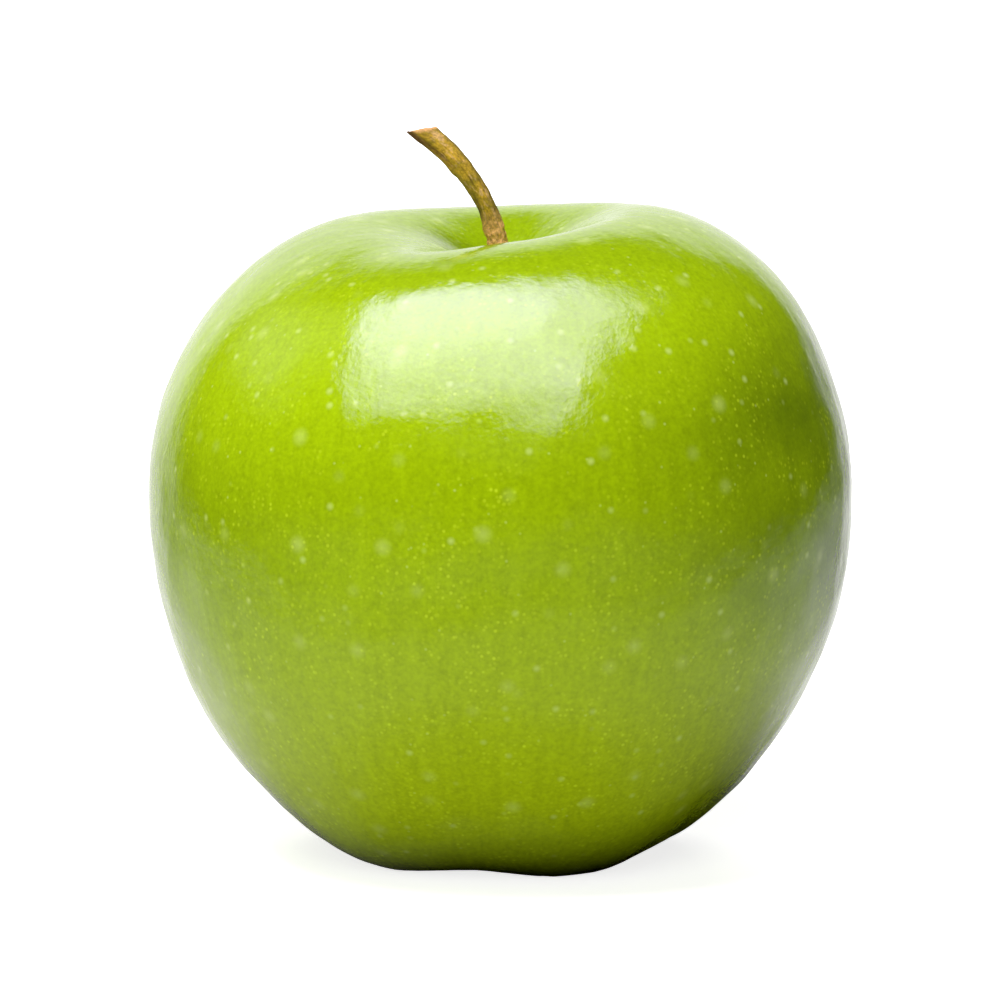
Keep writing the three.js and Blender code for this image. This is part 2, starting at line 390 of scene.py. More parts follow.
def node(
    tree: Tree, kind: str, links: Links | None = None, out: str | int = 0, **settings: object
) -> Socket:
    """Adds one node to a tree, sets it up, and fills its inputs.

    Args:
        tree: The tree that gets it.
        kind: The node's type, without the leading "ShaderNode".
        links: For each input, by place or name, a socket to link or a value to set.
        out: The output to hand back, by place or name.
        **settings: The node's own properties.

    Returns:
        The chosen output, or the first input where the node has no output.
    """
    made = tree.nodes.new("ShaderNode" + kind)
    for name, value in settings.items():
        setattr(made, name, value)
    for key, value in (links or {}).items():
        target = pick(made.inputs, key)
        if isinstance(value, Socket):
            tree.links.new(value, target)
        else:
            target.default_value = value
    return pick(made.outputs, out) if len(made.outputs) else made.inputs[0]


def new_material(name: str) -> bpy.types.Material:
    """An empty node material of that name."""
    material = bpy.data.materials.new(name)
    material.use_nodes = True
    material.node_tree.nodes.clear()
    return material


@dataclass(frozen=True)
class Speck:
    """One size of pale pore: real spacing, radius and blur in millimetres, and how pale and raised it is."""

    spacing: float
    radius: float
    blur: float
    share: float
    paleness: float
    height: float


@dataclass(frozen=True)
class WaxedSkin:
    """Apple skin: a cuticle of natural wax over green flesh, polished by handling.

    The pigment lies deep, so the green is even. The wax gives a clear, narrow reflection that the
    pores and the fine ribs of the skin break up at its edges.
    """

    name: str = "waxed_apple_skin"
    ground: str = "#88a104"
    unshaded_green: str = "#8aa303"
    # Painted shade, laid on the right side and, a little, on the far left edge.
    painted_shade: str = "#617704"
    lower: str = "#8da008"
    # Painted light: the paler green laid on the top.
    upper: str = "#9fbb07"
    crest: str = "#86a205"
    stalk_end: str = "#93b00a"
    eye_end: str = "#8f9a1c"
    fleck: str = "#c6da2b"
    russet: str = "#9a8440"
    pore: str = "#d3e183"
    ior: float = 1.45  # plant wax
    gloss: float = 0.112
    specks: tuple[Speck, ...] = (
        Speck(spacing=4.6, radius=1.4, blur=1.4, share=0.7, paleness=0.32, height=0.016),
        Speck(spacing=2.8, radius=0.62, blur=0.6, share=0.6, paleness=0.46, height=0.016),
        Speck(spacing=1.7, radius=0.26, blur=0.22, share=0.5, paleness=0.3, height=0.004),
    )

    def build(self) -> bpy.types.Material:
        """Builds the material.

        Returns:
            The material, which reads the skin_flow, stalk_zone and eye_zone attributes.
        """
        material = new_material(self.name)
        tree = material.node_tree
        place = node(tree, "TexCoord", out="Object")
        place = node(tree, "VectorMath", {0: place, "Scale": 1 / MM}, operation="SCALE")
        flow = node(tree, "Attribute", out="Vector", attribute_name="skin_flow")
        colour = self._ground(tree, place)
        colour = self._grained(tree, place, flow, colour)
        colour, pores = self._pores(tree, place, colour)
        bump = self._relief(tree, place, flow, pores)
        worn = node(tree, "TexNoise", {"Vector": place, "Scale": 1 / 5, "Detail": 3.0})
        gloss = {0: worn, 1: 0.3, 2: 0.7, 3: self.gloss - 0.02, 4: self.gloss + 0.03}
        gloss = node(tree, "MapRange", gloss)
        finish = {"Base Color": colour, "Roughness": gloss, "IOR": self.ior, "Normal": bump}
        node(tree, "OutputMaterial", {"Surface": node(tree, "BsdfPrincipled", finish)})
        return material

    def _ground(self, tree: Tree, place: Socket) -> Socket:
        """The green under the grain: layers of colour by side and height, with painted shade on the sides
        and painted light on the top, clouds, and russet at the ends.

        Args:
            tree: The material's tree.
            place: Object coordinates in millimetres.

        Returns:
            The colour.
        """
        stalk = node(tree, "Attribute", out="Fac", attribute_name="stalk_zone")
        eye = node(tree, "Attribute", out="Fac", attribute_name="eye_zone")
        across = node(tree, "SeparateXYZ", {0: place}, out="X")
        tall = across.node.outputs["Z"]
        soft = {"interpolation_type": "SMOOTHSTEP"}
        # Painted shade: the right side, away from the key lamp, is darker, and the far left edge a little.
        side = node(tree, "MapRange", {0: across, 1: 9.0, 2: 36.0}, **soft)
        painted_left_shade = node(tree, "MapRange", {0: across, 1: -12.0, 2: -34.0, 3: 0.0, 4: 0.35}, **soft)
        side = node(tree, "Math", {0: side, 1: painted_left_shade}, operation="ADD")
        clouds = node(tree, "TexNoise", {"Vector": place, "Scale": 1 / 14, "Detail": 3.0})
        drift = node(tree, "MapRange", {0: clouds, 1: 0.35, 2: 0.65, 3: 0.0, 4: 0.6})
        low = node(tree, "MapRange", {0: tall, 1: 40.0, 2: 9.0, 3: 0.0, 4: 0.8}, **soft)
        crest = node(tree, "MapRange", {0: tall, 1: 63.0, 2: 71.0, 3: 0.0, 4: 0.55}, **soft)
        # Painted light: a paler top, reaching 6 mm further down on the lit left and 8 mm less on the right.
        reach = node(tree, "MapRange", {0: across, 1: 36.0, 2: -36.0, 3: -8.0, 4: 6.0})
        reach = node(tree, "Math", {0: tall, 1: reach}, operation="ADD")
        high = node(tree, "MapRange", {0: reach, 1: 46.0, 2: 65.0, 3: 0.0, 4: 0.92}, **soft)
        near_stalk = node(tree, "Math", {0: stalk, 1: 0.75}, operation="MULTIPLY")
        # Corky russet is thin rough skin in patches of 1 to 2 mm, and only deep at the two ends.
        patches = {"Vector": place, "Scale": 1 / 1.6, "Detail": 4.0, "Roughness": 0.7}
        rust = node(tree, "MapRange", {0: node(tree, "TexNoise", patches), 1: 0.5, 2: 0.62}, **soft)
        ends = node(tree, "Math", {0: stalk, 1: eye}, operation="MAXIMUM")
        deep = node(tree, "MapRange", {0: ends, 1: 0.72, 2: 1.0})
        rusty = node(tree, "Math", {0: rust, 1: deep}, operation="MULTIPLY")
        layers = (
            (side, self.painted_shade),
            (drift, self.ground),
            (low, self.lower),
            (high, self.upper),
            (crest, self.crest),
            (near_stalk, self.stalk_end),
            (eye, self.eye_end),
            (rusty, self.russet),
        )
        base = linear(self.unshaded_green)
        for share, tint in layers:
            links = {"Factor_Float": share, "A_Color": base, "B_Color": linear(tint)}
            base = node(tree, "Mix", links, out="Result_Color", data_type="RGBA")
        return base

    def _grained(self, tree: Tree, place: Socket, flow: Socket, base: Socket) -> Socket:
        """The green with its fine pattern: a mottle, a grain, streaks from pole to pole, and pale flecks.

        Args:
            tree: The material's tree.
            place: Object coordinates in millimetres.
            flow: Coordinates that follow the meridians, in millimetres.
            base: The green.

        Returns:
            The colour.
        """
        # The green pigment lies in cell clusters: a 1.1 mm mottle and a 0.45 mm grain, which is drawn
        # about three times as coarse as the cells so that it shows.
        mottle = {"Vector": place, "Scale": 1 / 1.1, "Detail": 3.0, "Roughness": 0.65}
        mottle = node(tree, "TexNoise", mottle)
        grain = node(tree, "TexNoise", {"Vector": place, "Scale": 1 / 0.45, "Detail": 1.0})
        streaks = node(tree, "TexNoise", {"Vector": flow, "Scale": 1 / 1.3, "Detail": 3.0, "Roughness": 0.6})
        fine = node(tree, "Math", {0: mottle, 1: grain}, operation="ADD")
        fine = node(tree, "Math", {0: streaks, 1: 0.7, 2: fine}, operation="MULTIPLY_ADD")
        value = node(tree, "MapRange", {0: fine, 1: 0.8, 2: 1.9, 3: 0.80, 4: 1.20})
        base = node(tree, "VectorMath", {0: base, "Scale": value}, operation="SCALE")
        # Pale yellow flecks 0.3 to 0.5 mm wide crowd together in patches of about 6 mm.
        crowd = node(tree, "TexNoise", {"Vector": place, "Scale": 1 / 6.0, "Detail": 2.0})
        crowd = node(tree, "MapRange", {0: crowd, 1: 0.42, 2: 0.64, 3: 0.06, 4: 0.5})
        dots = node(tree, "TexVoronoi", {"Vector": place, "Scale": 1 / 0.7}, out="Distance")
        chance = node(tree, "SeparateColor", {0: dots.node.outputs["Color"]}, out="Green")
        strength = node(tree, "Math", {0: chance, 1: crowd}, operation="MULTIPLY")
        dots = node(tree, "MapRange", {0: dots, 1: 0.42, 2: 0.1}, interpolation_type="SMOOTHSTEP")
        dots = node(tree, "Math", {0: dots, 1: strength}, operation="MULTIPLY")
        links = {"Factor_Float": dots, "A_Color": base, "B_Color": linear(self.fleck)}
        return node(tree, "Mix", links, out="Result_Color", data_type="RGBA")

    def _pores(self, tree: Tree, place: Socket, colour: Socket) -> tuple[Socket, Socket]:
        """The pale pores: the skin cuts through balls round scattered points, so their sizes vary.

        Args:
            tree: The material's tree.
            place: Object coordinates in millimetres.
            colour: The green under them.

        Returns:
            The colour with the pores, and their raised height in millimetres.
        """
        # They show less towards the foot.
        tall = node(tree, "SeparateXYZ", {0: place}, out="Z")
        upper = node(tree, "MapRange", {0: tall, 1: 12.0, 2: 66.0, 3: 0.45, 4: 1.0})
        height = None
        for speck in self.specks:
            cells = node(tree, "TexVoronoi", {"Vector": place, "Scale": 1 / speck.spacing}, out="Distance")
            chance = node(tree, "SeparateColor", {0: cells.node.outputs["Color"]}, out="Red")
            chosen = node(tree, "Math", {0: chance, 1: speck.share}, operation="LESS_THAN")
            edge = speck.radius / speck.spacing
            start = (speck.radius - speck.blur) / speck.spacing
            spot = node(tree, "MapRange", {0: cells, 1: edge, 2: start}, interpolation_type="SMOOTHSTEP")
            spot = node(tree, "Math", {0: spot, 1: chosen}, operation="MULTIPLY")
            shown = node(tree, "Math", {0: spot, 1: upper}, operation="MULTIPLY")
            shown = node(tree, "Math", {0: shown, 1: speck.paleness}, operation="MULTIPLY")
            links = {"Factor_Float": shown, "A_Color": colour, "B_Color": linear(self.pore)}
            colour = node(tree, "Mix", links, out="Result_Color", data_type="RGBA")
            raised = node(tree, "Math", {0: spot, 1: speck.height}, operation="MULTIPLY")
            if height is not None:
                raised = node(tree, "Math", {0: height, 1: raised}, operation="ADD")
            height = raised
        return colour, height

    def _relief(self, tree: Tree, place: Socket, flow: Socket, pores: Socket) -> Socket:
        """The fine relief: the pores, pebbles about 1 mm wide, a finer grain, and faint ribs that run
        from pole to pole.

        Args:
            tree: The material's tree.
            place: Object coordinates in millimetres.
            flow: Coordinates that follow the meridians, in millimetres.
            pores: The pores' height in millimetres.

        Returns:
            The normal.
        """
        pebbles = {"Vector": place, "Scale": 1 / 1.3, "Detail": 2.5, "Roughness": 0.55}
        pebbles = node(tree, "TexNoise", pebbles)
        grain = node(tree, "TexNoise", {"Vector": place, "Scale": 1 / 0.5, "Detail": 1.0})
        ribs = node(tree, "TexNoise", {"Vector": flow, "Scale": 1 / 0.9, "Detail": 1.0})
        height = node(tree, "Math", {0: pebbles, 1: 0.054, 2: pores}, operation="MULTIPLY_ADD")
        height = node(tree, "Math", {0: grain, 1: 0.013, 2: height}, operation="MULTIPLY_ADD")
        # The ribs crowd together towards the poles, so there they are lower.
        flat = node(tree, "VectorMath", {0: place, 1: (0.025, 0.025, 0.0)}, operation="MULTIPLY")
        spread = node(tree, "VectorMath", {0: flat}, out="Value", operation="LENGTH")
        low_ribs = node(tree, "Math", {0: spread, 1: 0.005}, operation="MULTIPLY")
        height = node(tree, "Math", {0: ribs, 1: low_ribs, 2: height}, operation="MULTIPLY_ADD")
        return node(tree, "Bump", {"Strength": 1.0, "Distance": MM, "Height": height})


@dataclass(frozen=True)
class StemBark:
    """The dry woody stem: thin bark over tough fibres, olive and gold where it is smooth.

    The foot is rough and orange-tan. Pink-tan patches, dark fibres and a dull surface tell it from
    the shiny skin.
    """

    name: str = "woody_stem_bark"
    gold: str = "#bd961f"
    olive: str = "#8c7612"
    foot: str = "#eab26c"
    speck: str = "#573c0c"
    patch: str = "#dbb077"
    # Painted shade, laid along the stem's left and right sides.
    painted_shade: str = "#53501c"
    cut: str = "#dca765"
    # The dark brown of the cut's tip, also laid in the groove behind it as painted shade.
    char: str = "#51350f"
    roughness: float = 0.7

    def build(self) -> bpy.types.Material:
        """Builds the material.

        Returns:
            The material, which reads the grain vector and the foot, cut, edge-shade and dark-tip numbers.
        """
        material = new_material(self.name)
        tree = material.node_tree
        grain = node(tree, "Attribute", out="Vector", attribute_name="grain")
        zones = ("foot", "cut", "edge", "char")
        zones = (node(tree, "Attribute", out="Fac", attribute_name=zone) for zone in zones)
        foot, cut, edge, char = zones
        # Fibres are drawn 0.4 mm wide and 3 mm long, several times the real ones, so that they show.
        long_grain = node(tree, "Mapping", {"Vector": grain, "Scale": (1.0, 1.0, 0.14)})
        fibres = {"Vector": long_grain, "Scale": 1 / 0.38, "Detail": 3.0, "Roughness": 0.6}
        fibres = node(tree, "TexNoise", fibres)
        clouds = node(tree, "TexNoise", {"Vector": grain, "Scale": 1 / 1.7, "Detail": 3.0, "Roughness": 0.6})
        other = {"Vector": grain, "Location": (7.0, 3.0, 0.0), "Scale": (1.0, 1.0, 0.55)}
        other = node(tree, "Mapping", other)
        patchy = node(tree, "TexNoise", {"Vector": other, "Scale": 1 / 0.9, "Detail": 2.0})
        patchy = {0: patchy, 1: 0.5, 2: 0.64, 4: 0.6}
        patchy = node(tree, "MapRange", patchy, interpolation_type="SMOOTHSTEP")
        marked = node(tree, "MapRange", {0: fibres, 1: 0.56, 2: 0.7})
        strength = node(tree, "MapRange", {0: foot, 3: 0.8, 4: 0.35})
        layers = (
            (node(tree, "MapRange", {0: clouds, 1: 0.38, 2: 0.62}), self.gold),
            (patchy, self.patch),
            # Painted shade along the stem's left and right sides.
            (node(tree, "Math", {0: edge, 1: 0.75}, operation="MULTIPLY"), self.painted_shade),
            (foot, self.foot),
            (node(tree, "Math", {0: marked, 1: strength}, operation="MULTIPLY"), self.speck),
            (cut, self.cut),
            (char, self.char),
        )
        colour = linear(self.olive)
        for factor, tint in layers:
            links = {"Factor_Float": factor, "A_Color": colour, "B_Color": linear(tint)}
            colour = node(tree, "Mix", links, out="Result_Color", data_type="RGBA")
        crumbs = node(tree, "TexNoise", {"Vector": grain, "Scale": 1 / 0.3, "Detail": 3.0, "Roughness": 0.7})
        value = node(tree, "MapRange", {0: crumbs, 1: 0.32, 2: 0.68, 3: 0.58, 4: 1.38})
        colour = node(tree, "VectorMath", {0: colour, "Scale": value}, operation="SCALE")
        rough = node(tree, "MapRange", {0: foot, 3: 0.05, 4: 0.16})
        rough = node(tree, "Math", {0: crumbs, 1: rough}, operation="MULTIPLY")
        height = node(tree, "Math", {0: fibres, 1: 0.09, 2: rough}, operation="MULTIPLY_ADD")
        bump = node(tree, "Bump", {"Strength": 1.0, "Distance": MM, "Height": height})
        finish = {"Base Color": colour, "Roughness": self.roughness, "IOR": 1.5, "Specular IOR Level": 0.2}
        shader = node(tree, "BsdfPrincipled", {**finish, "Normal": bump})
        node(tree, "OutputMaterial", {"Surface": shader})
        return material


@dataclass(frozen=True)
class DryLeaf:
    """Withered sepal tissue or threads: dry, brittle, with grey down that catches light at the edges."""

    name: str
    dark: str
    light: str
    down: float
    grain: float

    def build(self) -> bpy.types.Material:
        """Builds the material.

        Returns:
            The material, which reads object coordinates.
        """
        material = new_material(self.name)
        tree = material.node_tree
        place = node(tree, "TexCoord", out="Object")
        place = node(tree, "VectorMath", {0: place, "Scale": 1 / MM}, operation="SCALE")
        blotch = {"Vector": place, "Scale": 1 / self.grain, "Detail": 4.0, "Roughness": 0.65}
        blotch = node(tree, "MapRange", {0: node(tree, "TexNoise", blotch), 1: 0.36, 2: 0.64})
        links = {"Factor_Float": blotch, "A_Color": linear(self.dark), "B_Color": linear(self.light)}
        colour = node(tree, "Mix", links, out="Result_Color", data_type="RGBA")
        wrinkles = node(tree, "TexNoise", {"Vector": place, "Scale": 1 / 0.35, "Detail": 3.0})
        height = node(tree, "Math", {0: wrinkles, 1: 0.12}, operation="MULTIPLY")
        bump = node(tree, "Bump", {"Strength": 1.0, "Distance": MM, "Height": height})
        shader = node(
            tree,
            "BsdfPrincipled",
            {
                "Base Color": colour,
                "Roughness": 0.85,
                "IOR": 1.45,
                "Sheen Weight": self.down,
                "Sheen Roughness": 0.5,
                "Normal": bump,
            },
        )
        node(tree, "OutputMaterial", {"Surface": shader})
        return material


@dataclass(frozen=True)
class ContactShade:
    """The dark patch of floor under the apple, as the skin reflects it: full inside, fading outwards."""

    name: str = "contact_shade"
    full_radius: float = 20.0
    faded_radius: float = 66.0
    middle: float = 7.0
    tint: str = "#1c1c1a"

    def build(self) -> bpy.types.Material:
        """Builds the material.

        Returns:
            The material, see-through beyond the faded radius.
        """
        material = new_material(self.name)
        tree = material.node_tree
        place = node(tree, "TexCoord", out="Object")
        place = node(tree, "VectorMath", {0: place, 1: (self.middle * MM, 0.0, 0.0)}, operation="SUBTRACT")
        out = node(tree, "VectorMath", {0: place}, out="Value", operation="LENGTH")
        fade = {0: out, 1: self.full_radius * MM, 2: self.faded_radius * MM}
        clear = node(tree, "MapRange", fade, interpolation_type="SMOOTHSTEP")
        dark = node(tree, "BsdfDiffuse", {"Color": linear(self.tint)})
        shader = node(tree, "MixShader", {"Fac": clear, 1: dark, 2: node(tree, "BsdfTransparent")})
        node(tree, "OutputMaterial", {"Surface": shader})
        return material


@dataclass(frozen=True)
class PaleFloor:
    """The studio floor: smooth white acrylic over a lamp, as cut-out pictures are taken on. Its own
    glow leaves only a faint shadow."""

    name: str = "lit_white_acrylic"
    tint: str = "#f8f8f7"
    glow: float = 0.86

    def build(self) -> bpy.types.Material:
        """Builds the material.

        Returns:
            The material.
        """
        material = new_material(self.name)
        tree = material.node_tree
        card = {"Base Color": linear(self.tint), "Roughness": 1.0, "Specular IOR Level": 0.0}
        lit = {"Emission Color": linear(self.tint), "Emission Strength": self.glow}
        shader = node(tree, "BsdfPrincipled", {**card, **lit})
        node(tree, "OutputMaterial", {"Surface": shader})
        return material


# The apple's pieces


@dataclass
class Fruit:
    """The fruit: one closed skin over the shoulder, the sides, the crown and both hollows."""

    radius: float = 40.0
    widest_height: float = 41.2
    shoulder_height: float = 72.4
    shoulder_radius: float = 15.6
    crown_radius: float = 15.6
    cavity_depth: float = 13.5
    basin_depth: float = 7.0
    standing_cut: float = 0.3
    shoulder_reach: float = 13.3
    upper_side_reach: float = 15.9
    lower_side_reach: float = 14.9
    crown_reach: float = 5.0
    bowl_reach: float = 3.2
    throat_radius: float = 5.0
    throat_drop: float = 3.7
    throat_slope: float = 33.0
    throat_reach_up: float = 3.6
    throat_reach_down: float = 2.2
    cavity_floor_reach: float = 0.5
    cavity_floor_rise: float = 3.5
    basin_reach: float = 6.0
    basin_floor_reach: float = 4.1
    taper_radius: float = 29.9
    taper_height: float = 10.3
    taper_slope: float = 54.0
    taper_reach_up: float = 7.7
    taper_reach_down: float = 5.4
    lobes: int = 5
    lobe_azimuth: float = -62.0
    shoulder_swells: tuple[tuple[float, float, float], ...] = (
        (-133, 20, -0.65),
        (-92, 16, 0.3),
        (92, 22, -0.3),
        (47, 18, 0.3),
    )
    stem_hole: float = 1.66
    stem_hole_depth: float = 4.0
    eye_hole: float = 2.66
    eye_hole_depth: float = 3.0
    around: int = 460

    def outline(self) -> tuple[Array, Array, Array]:
        """The outline from the calyx's hole up to the stem's hole, in cubic Bezier stretches.

        Returns:
            The stations as [radius, height], and how strongly each follows the unevenness of the
            shoulder and of the crown.
        """
        floor = self.shoulder_height - self.cavity_depth
        rise = math.radians(self.taper_slope)
        slope = np.array([math.cos(rise), math.sin(rise)])
        taper = np.array([self.taper_radius, self.taper_height])
        crown = (self.crown_radius, 0.0)
        widest = (self.radius, self.widest_height)
        shoulder = (self.shoulder_radius, self.shoulder_height)
        basin = bezier(
            (self.eye_hole, self.basin_depth),
            (self.eye_hole + self.basin_floor_reach, self.basin_depth),
            (self.crown_radius - self.basin_reach, 0.0),
            crown,
            26,
        )
        low = bezier(
            crown,
            (self.crown_radius + self.crown_reach, 0.0),
            taper - self.taper_reach_down * slope,
            taper,
            28,
        )
        side = bezier(
            taper,
            taper + self.taper_reach_up * slope,
            (self.radius, self.widest_height - self.lower_side_reach),
            widest,
            46,
        )
        top = bezier(
            widest,
            (self.radius, self.widest_height + self.upper_side_reach),
            (self.shoulder_radius + self.shoulder_reach, self.shoulder_height),
            shoulder,
            62,
        )
        drop = math.radians(self.throat_slope)
        fall = np.array([math.cos(drop), math.sin(drop)])
        throat = np.array([self.throat_radius, self.shoulder_height - self.throat_drop])
        bowl = bezier(
            shoulder,
            (self.shoulder_radius - self.bowl_reach, self.shoulder_height),
            throat + self.throat_reach_up * fall,
            throat,
            20,
        )
        funnel = bezier(
            throat,
            throat - self.throat_reach_down * fall,
            (self.stem_hole + self.cavity_floor_reach, floor + self.cavity_floor_rise),
            (self.stem_hole, floor),
            14,
        )
        cavity = np.vstack([bowl[:-1], funnel])
        eye_end = self.basin_depth + self.eye_hole_depth
        stem_end = floor - self.stem_hole_depth
        eye, stem = self.eye_hole, self.stem_hole
        eye_wall = [(0.5 * eye, eye_end), (eye, eye_end), (eye, eye_end - 0.3)]
        stem_wall = [(stem, stem_end + 0.3), (stem, stem_end), (0.5 * stem, stem_end)]
        stations = np.vstack([eye_wall, basin[:-1], low[:-1], side[:-1], top[:-1], cavity, stem_wall])
        parts = ["hole", "basin", "side", "side", "shoulder", "cavity", "hole"]
        part = np.repeat(parts, [3, 26, 28, 46, 62, 35, 3])
        radius, height = stations.T
        lifted = smoothstep(height, self.widest_height, self.shoulder_height)
        in_cavity = smoothstep(radius, 0, self.shoulder_radius)
        shoulder_weight = np.select([part == "cavity", part == "shoulder"], [in_cavity, lifted], 0.0)
        crown_weight = np.select(
            [part == "side", part == "basin"],
            [
                1 - smoothstep(height, 0, self.widest_height),
                smoothstep(radius, 0, self.crown_radius),
            ],
            0.0,
        )
        self._part = part
        return stations, shoulder_weight, crown_weight

    def rings(self) -> tuple[Array, Array, Array]:
        """Carries the outline round the axis with the lobes, the tilt and the lean of the fruit.

        At each azimuth the radius is swollen by a share of the lobe wave, the lean and the oval, and the
        height is lifted by the shoulder's tilt, saddle and lobes and by the hollows between the lobes of
        the crown. The lowest points are cut flat at the floor.

        Returns:
            The points, the azimuth of each, and the way along the meridian of each.
        """
        stations, shoulder, crown = self.outline()
        azimuth = math.radians(self.lobe_azimuth) + np.arange(self.around) * TURN / self.around
        shoulder, crown = shoulder[:, None], crown[:, None]
        lobe = np.cos(self.lobes * (azimuth - math.radians(self.lobe_azimuth)))
        tilt = np.cos(azimuth - math.radians(28))
        saddle = np.cos(2 * (azimuth - math.radians(-20)))
        oval = np.cos(2 * (azimuth - math.radians(-33)))
        lean = np.cos(azimuth - math.radians(175))
        uneven = 0.1 * lobe
        for where, spread, lift in self.shoulder_swells:
            uneven = uneven + lift * np.exp(-((turned(azimuth, where) / math.radians(spread)) ** 2))
        swell = shoulder * 0.008 * lobe + crown * (0.012 * lobe + 0.02 * lean) + 0.005 * oval
        radius = stations[:, :1] * (1 + swell)
        rise = shoulder * (1.15 * tilt + 0.6 * saddle + uneven) + crown * 0.85 * (1 - lobe) / 2
        height = np.maximum(stations[:, 1:] + rise - self.standing_cut, 0)
        points = np.stack([radius * np.cos(azimuth), radius * np.sin(azimuth), height], axis=-1)
        steps = np.linalg.norm(np.diff(stations, axis=0), axis=1)
        along = np.concatenate([[0], np.cumsum(steps)])[:, None] + 0 * azimuth
        return points, np.broadcast_to(azimuth, height.shape), along

    def relief(self, points: Array, azimuth: Array, along: Array) -> Array:
        """Low relief in millimetres: slow undulations, dents a few millimetres wide, ribs from pole to
        pole, and folds that deepen into the two hollows.

        Args:
            points: The smooth surface.
            azimuth: Angle round the axis.
            along: Way along the meridian.

        Returns:
            How far each point moves out along its normal.
        """
        out = np.hypot(points[..., 0], points[..., 1])
        part = self._part[:, None]
        open_skin = np.where(part == "hole", 0.0, smoothstep(out, 1.8, 7.0))
        near_rim = np.where(points[..., 2] > self.widest_height, 1 - smoothstep(out, 15, 27), 0.0)
        slow = 0.1 * (1 - 0.75 * near_rim) * Waves(14, 38, 40, seed=11).at(points)
        dents = 0.023 * (1 - 0.6 * near_rim) * Waves(3.5, 8, 70, seed=12).at(points)
        ribs = 0.004 * Flutes(17, 64, 26, seed=13).at(azimuth, along)
        cavity_ring = smoothstep(out, 1.8, 5.0) * (1 - smoothstep(out, 8.0, 15.0))
        basin_ring = smoothstep(out, 2.7, 4.2) * (1 - smoothstep(out, 6.0, 13.0))
        in_cavity = np.where(part == "cavity", cavity_ring, 0.0)
        in_basin = np.where(part == "basin", basin_ring, 0.0)
        cavity_folds = 0.03 * Flutes(4, 9, 7, seed=14).at(azimuth, along)
        basin_folds = 0.28 * Flutes(10, 17, 6, seed=15).at(azimuth, along)
        return open_skin * (slow + dents + ribs) + in_cavity * cavity_folds + in_basin * basin_folds

    def shell(self) -> Shell:
        """Builds the skin, with its relief and the numbers that its material reads.

        Returns:
            The closed shell, its box centred over that of the CAD fruit.
        """
        points, azimuth, along = self.rings()
        low, high = (np.array(corner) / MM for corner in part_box("fruit"))
        middle = (points.min(axis=(0, 1)) + points.max(axis=(0, 1))) / 2
        shift = (low + high) / 2 - middle
        shift[2] = 0
        relief = self.relief(points, azimuth, along)
        moved = points + grid_normals(points) * relief[..., None]
        moved[..., 2] = np.maximum(moved[..., 2], 0)
        out = np.hypot(points[..., 0], points[..., 1])
        part = self._part[:, None]
        high_up = points[..., 2] > self.widest_height
        inside_top = np.isin(part, ["cavity", "hole"]) & high_up
        inside_foot = np.isin(part, ["basin", "hole"]) & ~high_up
        # The flow is an unrolled skin at 0.09 of its length from pole to pole, so that ribs are long.
        flow = [self.radius * np.cos(azimuth), self.radius * np.sin(azimuth), 0.09 * along]
        numbers = {
            "skin_flow": np.stack(flow, axis=-1),
            "stalk_zone": np.where(inside_top, 1 - smoothstep(out, 1.5, 13.5), 0.0),
            "eye_zone": np.where(inside_foot, 1 - smoothstep(out, 2.5, 11.0), 0.0),
        }
        self.shift = shift
        return Shell.from_rings(moved + shift, numbers)

    def make(self) -> bpy.types.Object:
        """Makes and dresses the fruit.

        Returns:
            The piece, which stands for the CAD fruit.
        """
        piece = self.shell().to_object("fruit_skin")
        piece.data.materials.append(WaxedSkin().build())
        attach(piece, BODY)
        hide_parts("fruit")
        return piece


